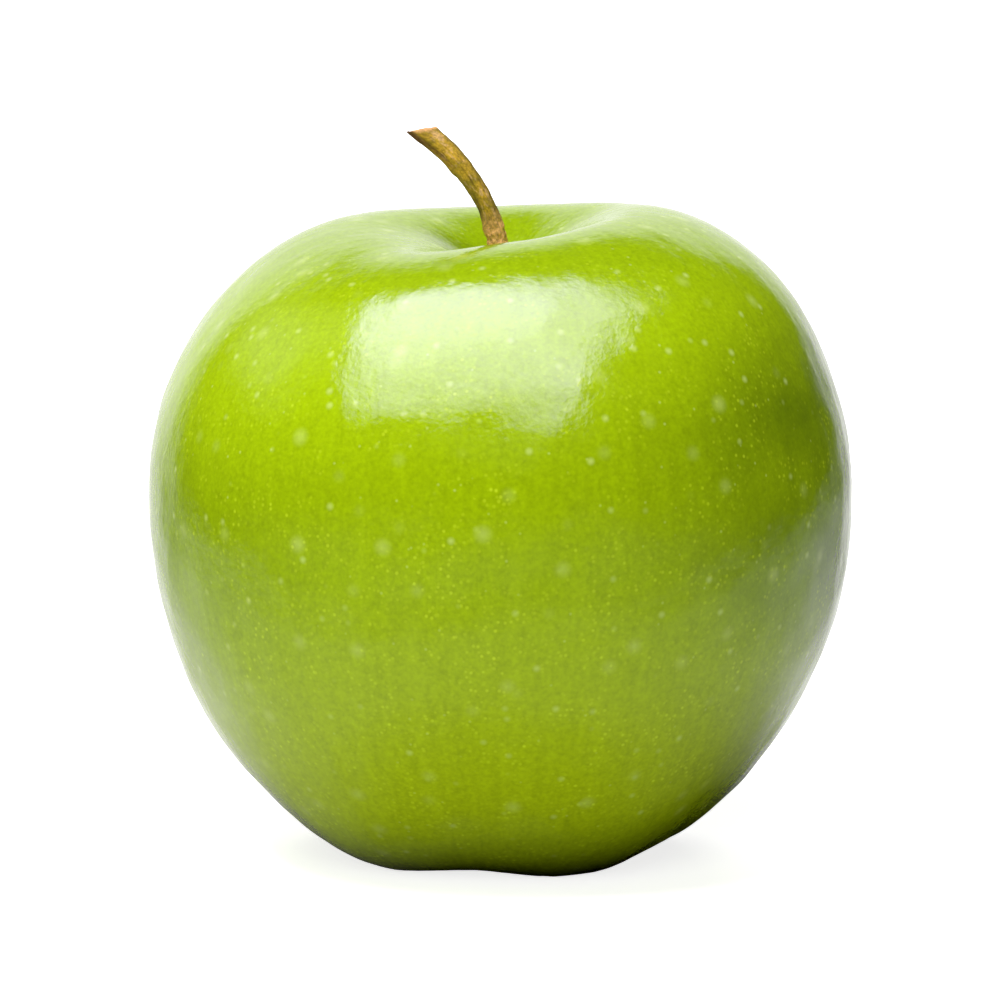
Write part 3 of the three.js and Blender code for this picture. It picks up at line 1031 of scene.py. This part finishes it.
@dataclass
class Stem:
    """The stem: a thick root in the flesh, a narrow waist with slow ridges, and a slanted cut at the tip."""

    shift: Array
    foot: float = 54.9
    flesh: float = 59.1
    root_radius: float = 1.6
    waist_radius: float = 1.03
    tip_radius: float = 1.28
    ridge_share: float = 0.06
    ridge_turn: float = 110.0
    cut_slant: float = 0.85
    groove_at: float = 232.0
    ridge_at: float = 262.0
    ledge_at: float = 190.0
    collar_at: float = 170.0
    steps: int = 180
    around: int = 64
    route: tuple[tuple[float, float, float], ...] = (
        (0.1, 0.0, 63.5),
        (-0.3, 0.0, 69.3),
        (-1.25, -0.1, 73.2),
        (-3.3, 0.1, 76.8),
        (-6.1, 0.3, 80.0),
        (-9.0, 0.4, 82.4),
    )

    def shell(self) -> Shell:
        """Builds the stem: rings round its line, and a cut face whose middle is sunk.

        Returns:
            The closed shell.
        """
        line = spline([(0, 0, self.foot), (0, 0, self.flesh), *self.route], self.steps)
        rod = Rod(line, np.array([0.0, 1.0, 0.0]))
        share = np.linspace(0, 1, self.steps + 1)[:, None]
        angle = np.arange(self.around)[None, :] * TURN / self.around
        length = np.linalg.norm(np.diff(line, axis=0), axis=1).sum()
        # The grain runs straight along the stem, so patterns are read off an unrolled stem.
        unrolled = np.broadcast_arrays(1.3 * np.cos(angle), 1.3 * np.sin(angle), share * length)
        unrolled = np.stack(unrolled, axis=-1)
        reach = self._reach(share, angle, unrolled)
        slant = -self.cut_slant * self.tip_radius * np.cos(angle) * smoothstep(share, 0.86, 1.0)
        sides = rod.rings(reach * np.sin(angle), reach * np.cos(angle), slant)
        # The cut face: rings that shrink to the middle, which is sunk, with a raised rim of bark.
        rim = sides[-1]
        centre = rim.mean(axis=0)
        along = rod.frames()[2][-1]
        inward = np.array([0.97, 0.9, 0.78, 0.62, 0.44, 0.25, 0.1])[:, None, None]
        dip = np.array([-0.02, 0.1, 0.22, 0.3, 0.34, 0.3, 0.26])[:, None, None]
        face = centre + (rim - centre) * inward - along * dip
        grain = np.concatenate([unrolled, np.repeat(unrolled[-1:], len(inward), axis=0)])
        numbers = {"grain": grain, **self._zones(share, angle, np.ones((len(inward), 1)))}
        return Shell.from_rings(np.concatenate([sides, face]) + self.shift, numbers)

    def _reach(self, share: Array, angle: Array, unrolled: Array) -> Array:
        """How far out the bark is: the radius narrows from root to waist and widens to the tip, with three
        slow ridges, a long groove under the cut, lumps, a rough foot, and a scar ledge where a leaf stood.

        Args:
            share: Share of the way along, one row a ring.
            angle: Angle round the stem.
            unrolled: The unrolled stem, in millimetres.

        Returns:
            The reach in millimetres, as rings x places round.
        """
        radius = self.root_radius + (self.waist_radius - self.root_radius) * smoothstep(share, 0.12, 0.62)
        radius = radius + (self.tip_radius - radius) * smoothstep(share, 0.6, 1.0)
        ridges = np.cos(3 * (angle - math.radians(self.ridge_turn) * share))
        reach = radius * (1 + self.ridge_share * ridges * smoothstep(share, 0.2, 0.4))
        lumps = 0.035 * Waves(0.9, 2.4, 40, seed=21).at(unrolled * [1, 1, 0.6])
        grooves = 0.03 * Waves(0.5, 0.9, 40, seed=22).at(unrolled * [1, 1, 0.08])
        rough_foot = 0.05 * Waves(0.6, 1.2, 40, seed=23).at(unrolled) * (1 - smoothstep(share, 0.5, 0.66))
        # The groove lies under the cut on the side that shows, and the ledge on the inside of the bend.
        near_cut = smoothstep(share, 0.74, 0.86)
        groove = -0.2 * np.exp(-((turned(angle, self.groove_at) / 0.26) ** 2)) * near_cut
        ridge = 0.11 * np.exp(-((turned(angle, self.ridge_at) / 0.25) ** 2)) * near_cut
        ledge_run = smoothstep(share, 0.775, 0.8) * (1 - smoothstep(share, 0.8, 0.86))
        ledge = 0.16 * np.exp(-((turned(angle, self.ledge_at) / 0.5) ** 2)) * ledge_run
        collar_run = smoothstep(share, 0.5, 0.535) * (1 - smoothstep(share, 0.535, 0.64))
        collar = 0.14 * np.exp(-((turned(angle, self.collar_at) / 0.9) ** 2)) * collar_run
        free = smoothstep(share, 0.1, 0.2)
        return reach + free * (lumps + grooves + rough_foot + groove + ridge + ledge + collar)

    def _zones(self, share: Array, angle: Array, face: Array) -> dict[str, Array]:
        """The numbers that tell the bark what lies where, from 0 to 1.

        Args:
            share: Share of the way along, one row a ring.
            angle: Angle round the stem.
            face: Ones, one row a ring of the cut face.

        Returns:
            The cut wood, the rough foot, painted shade along the edges, and the dark brown at the longest
            point of the cut, with painted shade in the groove behind it.
        """
        all_round = np.ones_like(angle)
        cut = np.concatenate([smoothstep(share, 0.985, 1.0), face]) * all_round
        foot = np.concatenate([1 - smoothstep(share, 0.53, 0.62), 0 * face]) * all_round
        # Painted shade: bands along the stem's left and right sides.
        edges = np.maximum(
            np.exp(-((turned(angle, 180) / 0.75) ** 2)),
            np.exp(-((turned(angle, 0) / 0.6) ** 2)),
        )
        edge = np.concatenate([edges + 0 * share, 0 * face + 0 * angle])
        point = smoothstep(-np.cos(angle), 0.1, 0.8) * smoothstep(share, 0.87, 0.97)
        # Painted shade: the groove behind the cut is darkened.
        groove = 0.8 * np.exp(-((turned(angle, self.groove_at) / 0.34) ** 2)) * smoothstep(share, 0.78, 0.9)
        face_point = smoothstep(-np.cos(angle), 0.35, 0.95) * face
        char = np.concatenate([np.maximum(point, groove), face_point])
        return {"cut": cut, "foot": foot, "edge": edge, "char": char}

    def make(self) -> bpy.types.Object:
        """Makes and dresses the stem.

        Returns:
            The piece, which stands for the CAD stem.
        """
        piece = self.shell().to_object("stem_wood", crease=48)
        piece.data.materials.append(StemBark().build())
        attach(piece, BODY)
        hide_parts("stem")
        return piece


def hanging(
    route: Array, azimuth: float, root: float, height: float, length: float, spread: float, count: int
) -> Array:
    """The line of a thread or blade that leaves the core at an azimuth, from its root downwards.

    Args:
        route: Points as [outwards, downwards], in shares of the length.
        azimuth: The way it leans, in radians.
        root: How far from the axis it starts.
        height: How high it starts.
        length: Its length.
        spread: How far it leans out, as a share of the route's.
        count: How many steps to cut it into.

    Returns:
        The count + 1 points.
    """
    out = root + route[:, 0] * length * spread
    down = height - route[:, 1] * length
    return spline(np.stack([out * math.cos(azimuth), out * math.sin(azimuth), down], axis=1), count)


@dataclass
class Calyx:
    """The dry calyx: five withered sepals that curl outwards from the rim of a short cup."""

    shift: Array
    sepals: int = 5
    first_azimuth: float = -26.0
    length: float = 7.6
    width: float = 3.4
    thickness: float = 0.42
    root: float = 1.85
    root_height: float = 7.3
    cup_radius: float = 2.6
    hollow_radius: float = 1.4
    mouth_height: float = 5.9
    top_height: float = 9.4

    def sepal(self, index: int) -> Shell:
        """One sepal: a blade whose width falls as (1 - 0.86 t)^0.7, cupped across, with a raised midrib,
        a wavy edge and a tip that curls.

        Args:
            index: Which of the sepals it is.

        Returns:
            The closed shell.
        """
        draw = np.random.default_rng(31 + index)
        azimuth = math.radians(self.first_azimuth + index * 360 / self.sepals + draw.uniform(-5, 5))
        length = self.length * draw.uniform(0.9, 1.04)
        curl = draw.uniform(-0.05, 0.08)
        route = np.array([(0, 0), (0.07, 0.3), (0.33, 0.52), (0.55, 0.56 + curl), (0.66, 0.49 + curl)])
        steps, around = 30, 40
        line = hanging(route, azimuth, self.root, self.root_height, length, 1.0, steps)
        share = np.linspace(0, 1, steps + 1)[:, None]
        angle = np.arange(around)[None, :] * TURN / around
        width = self.width * (1 - 0.93 * share) ** 0.7
        across = np.sin(angle)
        cupped = 0.16 * width * across**2
        wavy = 0.13 * np.sin(5.5 * math.pi * share + 2.2 * across + index) * across**2
        midrib = 0.13 * np.exp(-((across / 0.14) ** 2)) * (1 - share)
        body = 0.5 * self.thickness * np.cos(angle) * (1 - 0.55 * share)
        edge = 1 + 0.07 * np.sin(17 * share + 3 * index) * np.abs(across)
        upwards = body + cupped + wavy + midrib * np.sign(np.cos(angle)) * -1
        radial = np.array([-math.sin(azimuth), math.cos(azimuth), 0.0])
        return Shell.from_rings(Rod(line, radial).rings(0.5 * width * across * edge, upwards))

    def cup(self) -> Shell:
        """The cup: an outline carried round the axis, its lip uneven by a few tenths of a millimetre.

        Returns:
            The closed shell.
        """
        hollow = self.mouth_height + 1.9
        profile = np.array(
            [
                (0.6, hollow),
                (self.hollow_radius, hollow),
                (self.hollow_radius + 0.08, hollow - 0.9),
                (self.hollow_radius + 0.2, self.mouth_height + 0.35),
                (2.0, self.mouth_height + 0.05),
                (2.35, self.mouth_height + 0.15),
                (self.cup_radius, self.mouth_height + 0.6),
                (self.cup_radius, self.top_height - 0.4),
                (self.cup_radius - 0.3, self.top_height),
                (0.8, self.top_height),
            ]
        )
        fine = evenly_spaced(profile, 44)
        azimuth = np.arange(80)[None, :] * TURN / 80
        radius, height = fine[:, :1], fine[:, 1:]
        lip = 1 - smoothstep(height, self.mouth_height, self.mouth_height + 1.5)
        height = height + lip * (0.14 * np.cos(self.sepals * azimuth) + 0.05 * np.cos(13 * azimuth + 1))
        radius = radius * np.ones_like(azimuth)
        rings = [radius * np.cos(azimuth), radius * np.sin(azimuth), height]
        return Shell.from_rings(np.stack(rings, axis=-1))

    def make(self) -> bpy.types.Object:
        """Makes and dresses the calyx.

        Returns:
            The piece, which stands for the CAD calyx.
        """
        shell = Shell.joined([self.cup(), *(self.sepal(index) for index in range(self.sepals))])
        shell.points = shell.points + self.shift
        piece = shell.to_object("calyx_sepals", crease=60)
        leaf = DryLeaf(name="dry_sepal_leaf", dark="#4c4022", light="#8a7a4a", down=0.35, grain=1.3)
        piece.data.materials.append(leaf.build())
        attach(piece, BODY)
        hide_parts("calyx")
        return piece


class Thread(Enum):
    """The two kinds of thread in the tuft, with how many there are and how long and thick they are."""

    STAMEN = (18, 3.5, 0.24, 0.62)
    STYLE = (5, 2.5, 0.34, 0.25)


@dataclass
class Stamens:
    """The withered tuft in the calyx: stamens round five styles, on one small button."""

    shift: Array
    button_radius: float = 1.1
    button_low: float = 6.75
    button_high: float = 7.5

    def thread(self, kind: Thread, index: int) -> Shell:
        """One thread: a thin rod that leans out at its own angle, wanders, and ends in a small knob.

        Args:
            kind: A stamen or a style.
            index: Which one of its kind it is.

        Returns:
            The closed shell.
        """
        count, length, thickness, ring = kind.value
        draw = np.random.default_rng(101 + index + 100 * (kind is Thread.STYLE))
        azimuth = (index + draw.uniform(-0.3, 0.3)) * TURN / count
        length = length * draw.uniform(0.72, 1.0)
        sway = draw.uniform(-0.05, 0.05, 2)
        route = np.array([(0, 0), (0.02, 0.45), (0.11 + sway[0], 0.8), (0.24 + sway[1], 1)])
        line = hanging(route, azimuth, ring, self.button_low + 0.5, length, draw.uniform(0.4, 1.15), 14)
        share = np.linspace(0, 1, 15)[:, None]
        angle = np.arange(10)[None, :] * TURN / 10
        knob = 1 + 0.7 * smoothstep(share, 0.8, 0.92) - 0.9 * smoothstep(share, 0.95, 1.0)
        reach = 0.5 * thickness * (1 - 0.3 * smoothstep(share, 0, 0.7)) * knob
        radial = np.array([-math.sin(azimuth), math.cos(azimuth), 0.0])
        return Shell.from_rings(Rod(line, radial).rings(reach * np.sin(angle), reach * np.cos(angle)))

    def button(self) -> Shell:
        """The button: a low drum with a rounded edge, on which the threads stand.

        Returns:
            The closed shell.
        """
        low, high, wide = self.button_low, self.button_high, self.button_radius
        profile = np.array([(0.3, low), (0.8 * wide, low), (wide, low + 0.25), (wide, high), (0.3, high)])
        fine = evenly_spaced(profile, 16)
        azimuth = np.arange(40)[None, :] * TURN / 40
        radius = fine[:, :1] * (1 + 0.04 * np.cos(10 * azimuth))
        height = fine[:, 1:] + 0 * azimuth
        rings = [radius * np.cos(azimuth), radius * np.sin(azimuth), height]
        return Shell.from_rings(np.stack(rings, axis=-1))

    def make(self) -> bpy.types.Object:
        """Makes and dresses the tuft.

        Returns:
            The piece, which stands for the CAD stamens.
        """
        threads = [self.thread(kind, index) for kind in Thread for index in range(kind.value[0])]
        shell = Shell.joined([self.button(), *threads])
        shell.points = shell.points + self.shift
        piece = shell.to_object("stamen_tuft", crease=60)
        leaf = DryLeaf(name="dry_stamen_threads", dark="#2a1c10", light="#5d442a", down=0.2, grain=0.8)
        piece.data.materials.append(leaf.build())
        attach(piece, BODY)
        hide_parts("stamens")
        return piece


# The studio


@dataclass(frozen=True)
class Softbox:
    """The large overhead lamp that the skin mirrors, partly masked with flags.

    Sizes are in metres. In the mask, ways across are metres from the left edge of the bright part, and
    ways back are shares of the depth, from the front edge.
    """

    name: str = "overhead_softbox"
    towards: tuple[float, float, float] = (0.0, -0.31, 0.95)
    distance: float = 1.0
    width: float = 1.52
    depth: float = 1.5
    roll: float = -16.0
    offset: tuple[float, float] = (-0.175, 0.052)
    left_margin: float = 0.18
    glow: float = 13.5
    tint: str = "#d4c8ff"
    front_rise: tuple[float, float] = (0.047, 0.54)
    back_fall: tuple[float, float] = (1.023, 0.682)
    left_edge: tuple[float, float] = (-0.18, 0.2)
    veil_strength: float = 0.3

    def _mask(self, tree: Tree) -> Socket:
        """The share of the glow that passes: it rises from the front and falls at the back, which reaches
        further on the left. The left edge is soft, the right one slants, and a veil dims the back right.

        Args:
            tree: The lamp's tree.

        Returns:
            The share.
        """
        soft = {"interpolation_type": "SMOOTHSTEP"}
        across = node(tree, "SeparateXYZ", {0: node(tree, "NewGeometry", out="Parametric")}, out="X")
        back = across.node.outputs["Y"]
        across = {0: across, 1: self.width, 2: -self.left_margin}
        across = node(tree, "Math", across, operation="MULTIPLY_ADD")
        near = node(tree, "MapRange", {0: across, 1: 0.8, 2: 0.0, 3: 0.0, 4: 0.02})
        near = node(tree, "Math", {0: back, 1: near}, operation="ADD")
        rise = node(tree, "MapRange", {0: near, 1: self.front_rise[0], 2: self.front_rise[1]})
        rise = node(tree, "Math", {0: rise, 1: 0.65}, operation="POWER")
        far = node(tree, "MapRange", {0: across, 1: 0.95, 2: 0.35, 3: -0.01, 4: -0.08})
        far = node(tree, "Math", {0: back, 1: far}, operation="ADD")
        fall = node(tree, "MapRange", {0: far, 1: self.back_fall[0], 2: self.back_fall[1]}, **soft)
        left = node(tree, "MapRange", {0: across, 1: self.left_edge[0], 2: self.left_edge[1]}, **soft)
        start = node(tree, "MapRange", {0: back, 1: 0.19, 2: 0.57, 3: 1.16, 4: 1.04})
        stop = node(tree, "MapRange", {0: back, 1: 0.19, 2: 0.57, 3: 1.38, 4: 1.3})
        right = node(tree, "MapRange", {0: across, 1: stop, 2: start}, **soft)
        deep = node(tree, "MapRange", {0: back, 1: 0.38, 2: 0.57, 3: 0.0, 4: self.veil_strength}, **soft)
        veil = node(tree, "MapRange", {0: across, 1: 0.74, 2: 0.95, 3: 0.0, 4: deep}, **soft)
        share = node(tree, "Math", {0: 1.0, 1: veil}, operation="SUBTRACT")
        for edge in (left, right, rise, fall):
            share = node(tree, "Math", {0: share, 1: edge}, operation="MULTIPLY")
        return share

    def hang(self) -> bpy.types.Object:
        """Hangs the lamp facing the apple, seen by shine alone.

        Returns:
            The lamp.
        """
        lamp = bpy.data.lights.new(self.name, "AREA")
        lamp.shape = "RECTANGLE"
        lamp.size, lamp.size_y = self.width, self.depth
        lamp.energy = math.pi * self.width * self.depth
        lamp.use_nodes = True
        tree = lamp.node_tree
        tree.nodes.clear()
        glow = node(tree, "Math", {0: self._mask(tree), 1: self.glow}, operation="MULTIPLY")
        shine = node(tree, "Emission", {"Color": linear(self.tint), "Strength": glow})
        node(tree, "OutputLight", {"Surface": shine})
        made = bpy.data.objects.new(self.name, lamp)
        bpy.context.scene.collection.objects.link(made)
        away = Vector(self.towards).normalized()
        right = Vector((away.z, 0.0, -away.x)).normalized()
        back = right.cross(away) * -1
        moved = right * self.offset[0] + back * self.offset[1]
        made.location = Vector((0, 0, 0.04)) + away * self.distance + moved
        made.rotation_euler = (-away).to_track_quat("-Z", "Y").to_euler()
        made.rotation_euler.rotate_axis("Z", math.radians(self.roll))
        made.visible_camera = made.visible_diffuse = made.visible_transmission = False
        return made


@dataclass(frozen=True)
class SoftSun:
    """A wide distant lamp that shades the apple and leaves no shine. Its azimuth runs from the front,
    positive to the right, in degrees."""

    name: str
    azimuth: float
    elevation: float
    strength: float
    spread: float = 30.0

    def hang(self) -> bpy.types.Object:
        """Hangs the lamp.

        Returns:
            The lamp.
        """
        lamp = bpy.data.lights.new(self.name, "SUN")
        lamp.energy = self.strength
        lamp.angle = math.radians(self.spread)
        made = bpy.data.objects.new(self.name, lamp)
        bpy.context.scene.collection.objects.link(made)
        turn, rise = math.radians(self.azimuth), math.radians(self.elevation)
        away = Vector((math.sin(turn) * math.cos(rise), -math.cos(turn) * math.cos(rise), math.sin(rise)))
        made.rotation_euler = (-away).to_track_quat("-Z", "Y").to_euler()
        made.visible_glossy = False
        return made


@dataclass(frozen=True)
class Surroundings:
    """What surrounds the apple: white to the camera, and to shine and shading a room of its own.

    Directions are read as height (from -1 below to 1 above), backness (1 straight behind, -1 in front)
    and across (1 on the right).
    """

    name: str = "studio"
    wall_glow: float = 1.1
    dark_glow: float = 0.02
    front_bounce: float = 3.7
    left_bounce: float = 1.25
    room_glow: float = 0.04

    def build(self) -> bpy.types.World:
        """Builds the world.

        Returns:
            The world.
        """
        world = bpy.data.worlds.new(self.name)
        world.use_nodes = True
        tree = world.node_tree
        tree.nodes.clear()
        heading = node(tree, "TexCoord", out="Generated")
        flat = node(tree, "VectorMath", {0: heading, 1: (1.0, 1.0, 0.0)}, operation="MULTIPLY")
        flat = node(tree, "VectorMath", {0: flat}, operation="NORMALIZE")
        backness = node(tree, "SeparateXYZ", {0: flat}, out="Y")
        across = node(tree, "SeparateXYZ", {0: heading}, out="X")
        height = across.node.outputs["Z"]
        ray = node(tree, "LightPath", out="Is Camera Ray")
        room = {
            "Factor_Float": ray.node.outputs["Is Glossy Ray"],
            "A_Float": self._shading(tree, backness, across, height),
            "B_Float": self._mirrored(tree, backness, across, height),
        }
        room = node(tree, "Mix", room, out="Result_Float")
        seen = node(tree, "Mix", {"Factor_Float": ray, "A_Float": room, "B_Float": 1.0}, out="Result_Float")
        background = node(tree, "Background", {"Color": (1.0, 1.0, 1.0, 1.0), "Strength": seen})
        node(tree, "OutputWorld", {"Surface": background})
        world.cycles.sampling_method = "NONE"
        return world

    def _mirrored(self, tree: Tree, backness: Socket, across: Socket, height: Socket) -> Socket:
        """What the skin mirrors: a dark room with a white wall behind, a pale floor that starts some way
        off, and a pale curtain high at the back left.

        Args:
            tree: The world's tree.
            backness: How far behind a direction points.
            across: How far to the right it points.
            height: How far up it points.

        Returns:
            The brightness.
        """
        soft = {"interpolation_type": "SMOOTHSTEP"}
        behind = node(tree, "Math", {0: across, 1: -0.05, 2: backness}, operation="MULTIPLY_ADD")
        soon = node(tree, "MapRange", {0: height, 1: 0.1, 2: 0.3, 3: 0.69, 4: 0.8})
        sure = node(tree, "MapRange", {0: height, 1: 0.1, 2: 0.3, 3: 0.95, 4: 0.92})
        behind = node(tree, "MapRange", {0: behind, 1: soon, 2: sure}, **soft)
        under_top = node(tree, "MapRange", {0: height, 1: 0.7, 2: 0.45}, **soft)
        wall = node(tree, "Math", {0: behind, 1: under_top}, operation="MULTIPLY")
        wall = node(tree, "Math", {0: wall, 1: self.wall_glow}, operation="MULTIPLY")
        # The floor starts nearer and is brighter towards the back, and is shaded close to the apple.
        start = node(tree, "MapRange", {0: backness, 1: -1.0, 2: 1.0, 3: 0.36, 4: -0.06})
        later = node(tree, "MapRange", {0: across, 1: 0.0, 2: -0.9, 3: 0.0, 4: 0.05})
        depth = node(tree, "Math", {0: start, 1: height}, operation="ADD")
        depth = node(tree, "Math", {0: depth, 1: later}, operation="ADD")
        full = node(tree, "MapRange", {0: backness, 1: 0.6, 2: 1.0, 3: -0.22, 4: -0.55})
        ground = node(tree, "MapRange", {0: depth, 1: 0.0, 2: full}, **soft)
        glow = node(tree, "MapRange", {0: backness, 1: -1.0, 2: 1.0, 3: 0.44, 4: 1.14})
        below = node(tree, "MapRange", {0: height, 1: -0.78, 2: -0.97, 3: 1.0, 4: 0.2}, **soft)
        ground = node(tree, "Math", {0: ground, 1: glow}, operation="MULTIPLY")
        ground = node(tree, "Math", {0: ground, 1: below}, operation="MULTIPLY")
        beside = node(tree, "MapRange", {0: across, 1: -0.42, 2: -0.76}, **soft)
        raised = node(tree, "MapRange", {0: height, 1: 0.32, 2: 0.58}, **soft)
        rearward = node(tree, "MapRange", {0: backness, 1: -0.15, 2: 0.4}, **soft)
        curtain = node(tree, "Math", {0: beside, 1: raised}, operation="MULTIPLY")
        curtain = node(tree, "Math", {0: curtain, 1: rearward}, operation="MULTIPLY")
        shine = node(tree, "Math", {0: wall, 1: ground}, operation="MAXIMUM")
        shine = node(tree, "Math", {0: shine, 1: curtain}, operation="MAXIMUM")
        return node(tree, "Math", {0: shine, 1: self.dark_glow}, operation="ADD")

    def _shading(self, tree: Tree, backness: Socket, across: Socket, height: Socket) -> Socket:
        """The light that the floor throws back on the apple: strongest low in front and low on the left.

        Args:
            tree: The world's tree.
            backness: How far behind a direction points.
            across: How far to the right it points.
            height: How far up it points.

        Returns:
            The brightness.
        """
        front = node(tree, "MapRange", {0: backness, 1: 0.4, 2: -0.6}, interpolation_type="SMOOTHSTEP")
        low = node(tree, "MapRange", {0: height, 1: 0.0, 2: -0.2})
        lowest = node(tree, "MapRange", {0: height, 1: -0.25, 2: -0.45})
        band = node(tree, "Math", {0: low, 1: lowest}, operation="SUBTRACT")
        band = node(tree, "Math", {0: band, 1: front}, operation="MULTIPLY")
        left = node(tree, "MapRange", {0: across, 1: 0.2, 2: -0.7, 3: 0.4, 4: 1.4})
        under = node(tree, "MapRange", {0: height, 1: -0.15, 2: -0.4})
        left = node(tree, "Math", {0: left, 1: under}, operation="MULTIPLY")
        room = {0: band, 1: self.front_bounce, 2: self.room_glow}
        room = node(tree, "Math", room, operation="MULTIPLY_ADD")
        return node(tree, "Math", {0: left, 1: self.left_bounce, 2: room}, operation="MULTIPLY_ADD")


@dataclass
class Studio:
    """The floor, the lamps, the surroundings and the camera."""

    floor_radius: float = 3.0
    camera_distance: float = 700.0
    camera_elevation: float = 9.3
    pivot: tuple[float, float, float] = (0.0, 0.0, 36.0)
    aim: tuple[float, float, float] = (-0.057, 0.0, 40.1)
    lens: float = 220.8
    softbox: Softbox = Softbox()
    surroundings: Surroundings = Surroundings()
    suns: tuple[SoftSun, ...] = (
        SoftSun("high_key", azimuth=-50.0, elevation=76.0, strength=3.7),
        SoftSun("low_front_fill", azimuth=-4.0, elevation=34.0, strength=0.56),
        SoftSun("back_fill", azimuth=180.0, elevation=25.0, strength=1.3),
    )

    def lay_disc(
        self, name: str, radius: float, height: float, material: bpy.types.Material
    ) -> bpy.types.Object:
        """Lays a flat round disc.

        Args:
            name: The disc's name.
            radius: Its radius in metres.
            height: Its height in metres.
            material: What it is made of.

        Returns:
            The disc.
        """
        angle = np.arange(96) * TURN / 96
        rim = np.stack([radius * np.cos(angle), radius * np.sin(angle), 0 * angle + height], axis=1)
        mesh = bpy.data.meshes.new(name)
        mesh.from_pydata(rim.tolist(), [], [list(range(len(rim)))])
        mesh.materials.append(material)
        disc = bpy.data.objects.new(name, mesh)
        bpy.context.scene.collection.objects.link(disc)
        return disc

    def lay_floor(self) -> None:
        """Lays the floor that the camera sees, and the contact shade that only the skin sees: what the
        apple mirrors and what lights it from below come from the surroundings and that shade."""
        floor = self.lay_disc("studio_floor", self.floor_radius, 0.0, PaleFloor().build())
        floor.visible_glossy = False
        floor.visible_diffuse = False
        shade = ContactShade()
        patch = self.lay_disc("floor_shade", 1.2 * shade.faded_radius * MM, -0.0002, shade.build())
        patch.visible_camera = False
        patch.visible_shadow = False

    def place_camera(self) -> bpy.types.Object:
        """Puts the camera at the photograph's angle: a long way off, a little above the fruit's middle.

        Returns:
            The camera.
        """
        camera = bpy.data.cameras.new("camera")
        camera.lens = self.lens
        camera.sensor_width = 36.0
        made = bpy.data.objects.new("camera", camera)
        bpy.context.scene.collection.objects.link(made)
        rise = math.radians(self.camera_elevation)
        away = Vector((0.0, -math.cos(rise), math.sin(rise))) * self.camera_distance
        made.location = (Vector(self.pivot) + away) * MM
        made.rotation_mode = "QUATERNION"
        made.rotation_quaternion = (Vector(self.aim) * MM - made.location).to_track_quat("-Z", "Y")
        camera.clip_start, camera.clip_end = 0.01, 20.0
        bpy.context.scene.camera = made
        return made

    def set_up(self) -> None:
        """Lays the floor, hangs the lamps, sets the surroundings and the camera."""
        self.lay_floor()
        self.softbox.hang()
        for sun in self.suns:
            sun.hang()
        bpy.context.scene.world = self.surroundings.build()
        self.place_camera()
        bpy.context.scene.view_settings.view_transform = "Standard"


def corners(box: tuple[Vector, Vector]) -> list[list[float]]:
    """A box's lowest and highest corner as plain lists."""
    return [[float(x) for x in corner] for corner in box]


def report(piece: bpy.types.Object) -> None:
    """Logs a finished piece's name and how many triangles it has."""
    piece.data.calc_loop_triangles()
    LOG.info("%s: %d triangles", piece.name, len(piece.data.loop_triangles))


def main() -> None:
    """Builds the apple piece by piece round the CAD frame, then the studio."""
    logging.basicConfig(level=logging.INFO, format="%(name)s: %(message)s")
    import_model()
    fruit = Fruit()
    report(fruit.make())
    report(Stem(fruit.shift).make())
    report(Calyx(fruit.shift).make())
    report(Stamens(fruit.shift).make())
    Studio().set_up()


if __name__ == "__main__":
    main()
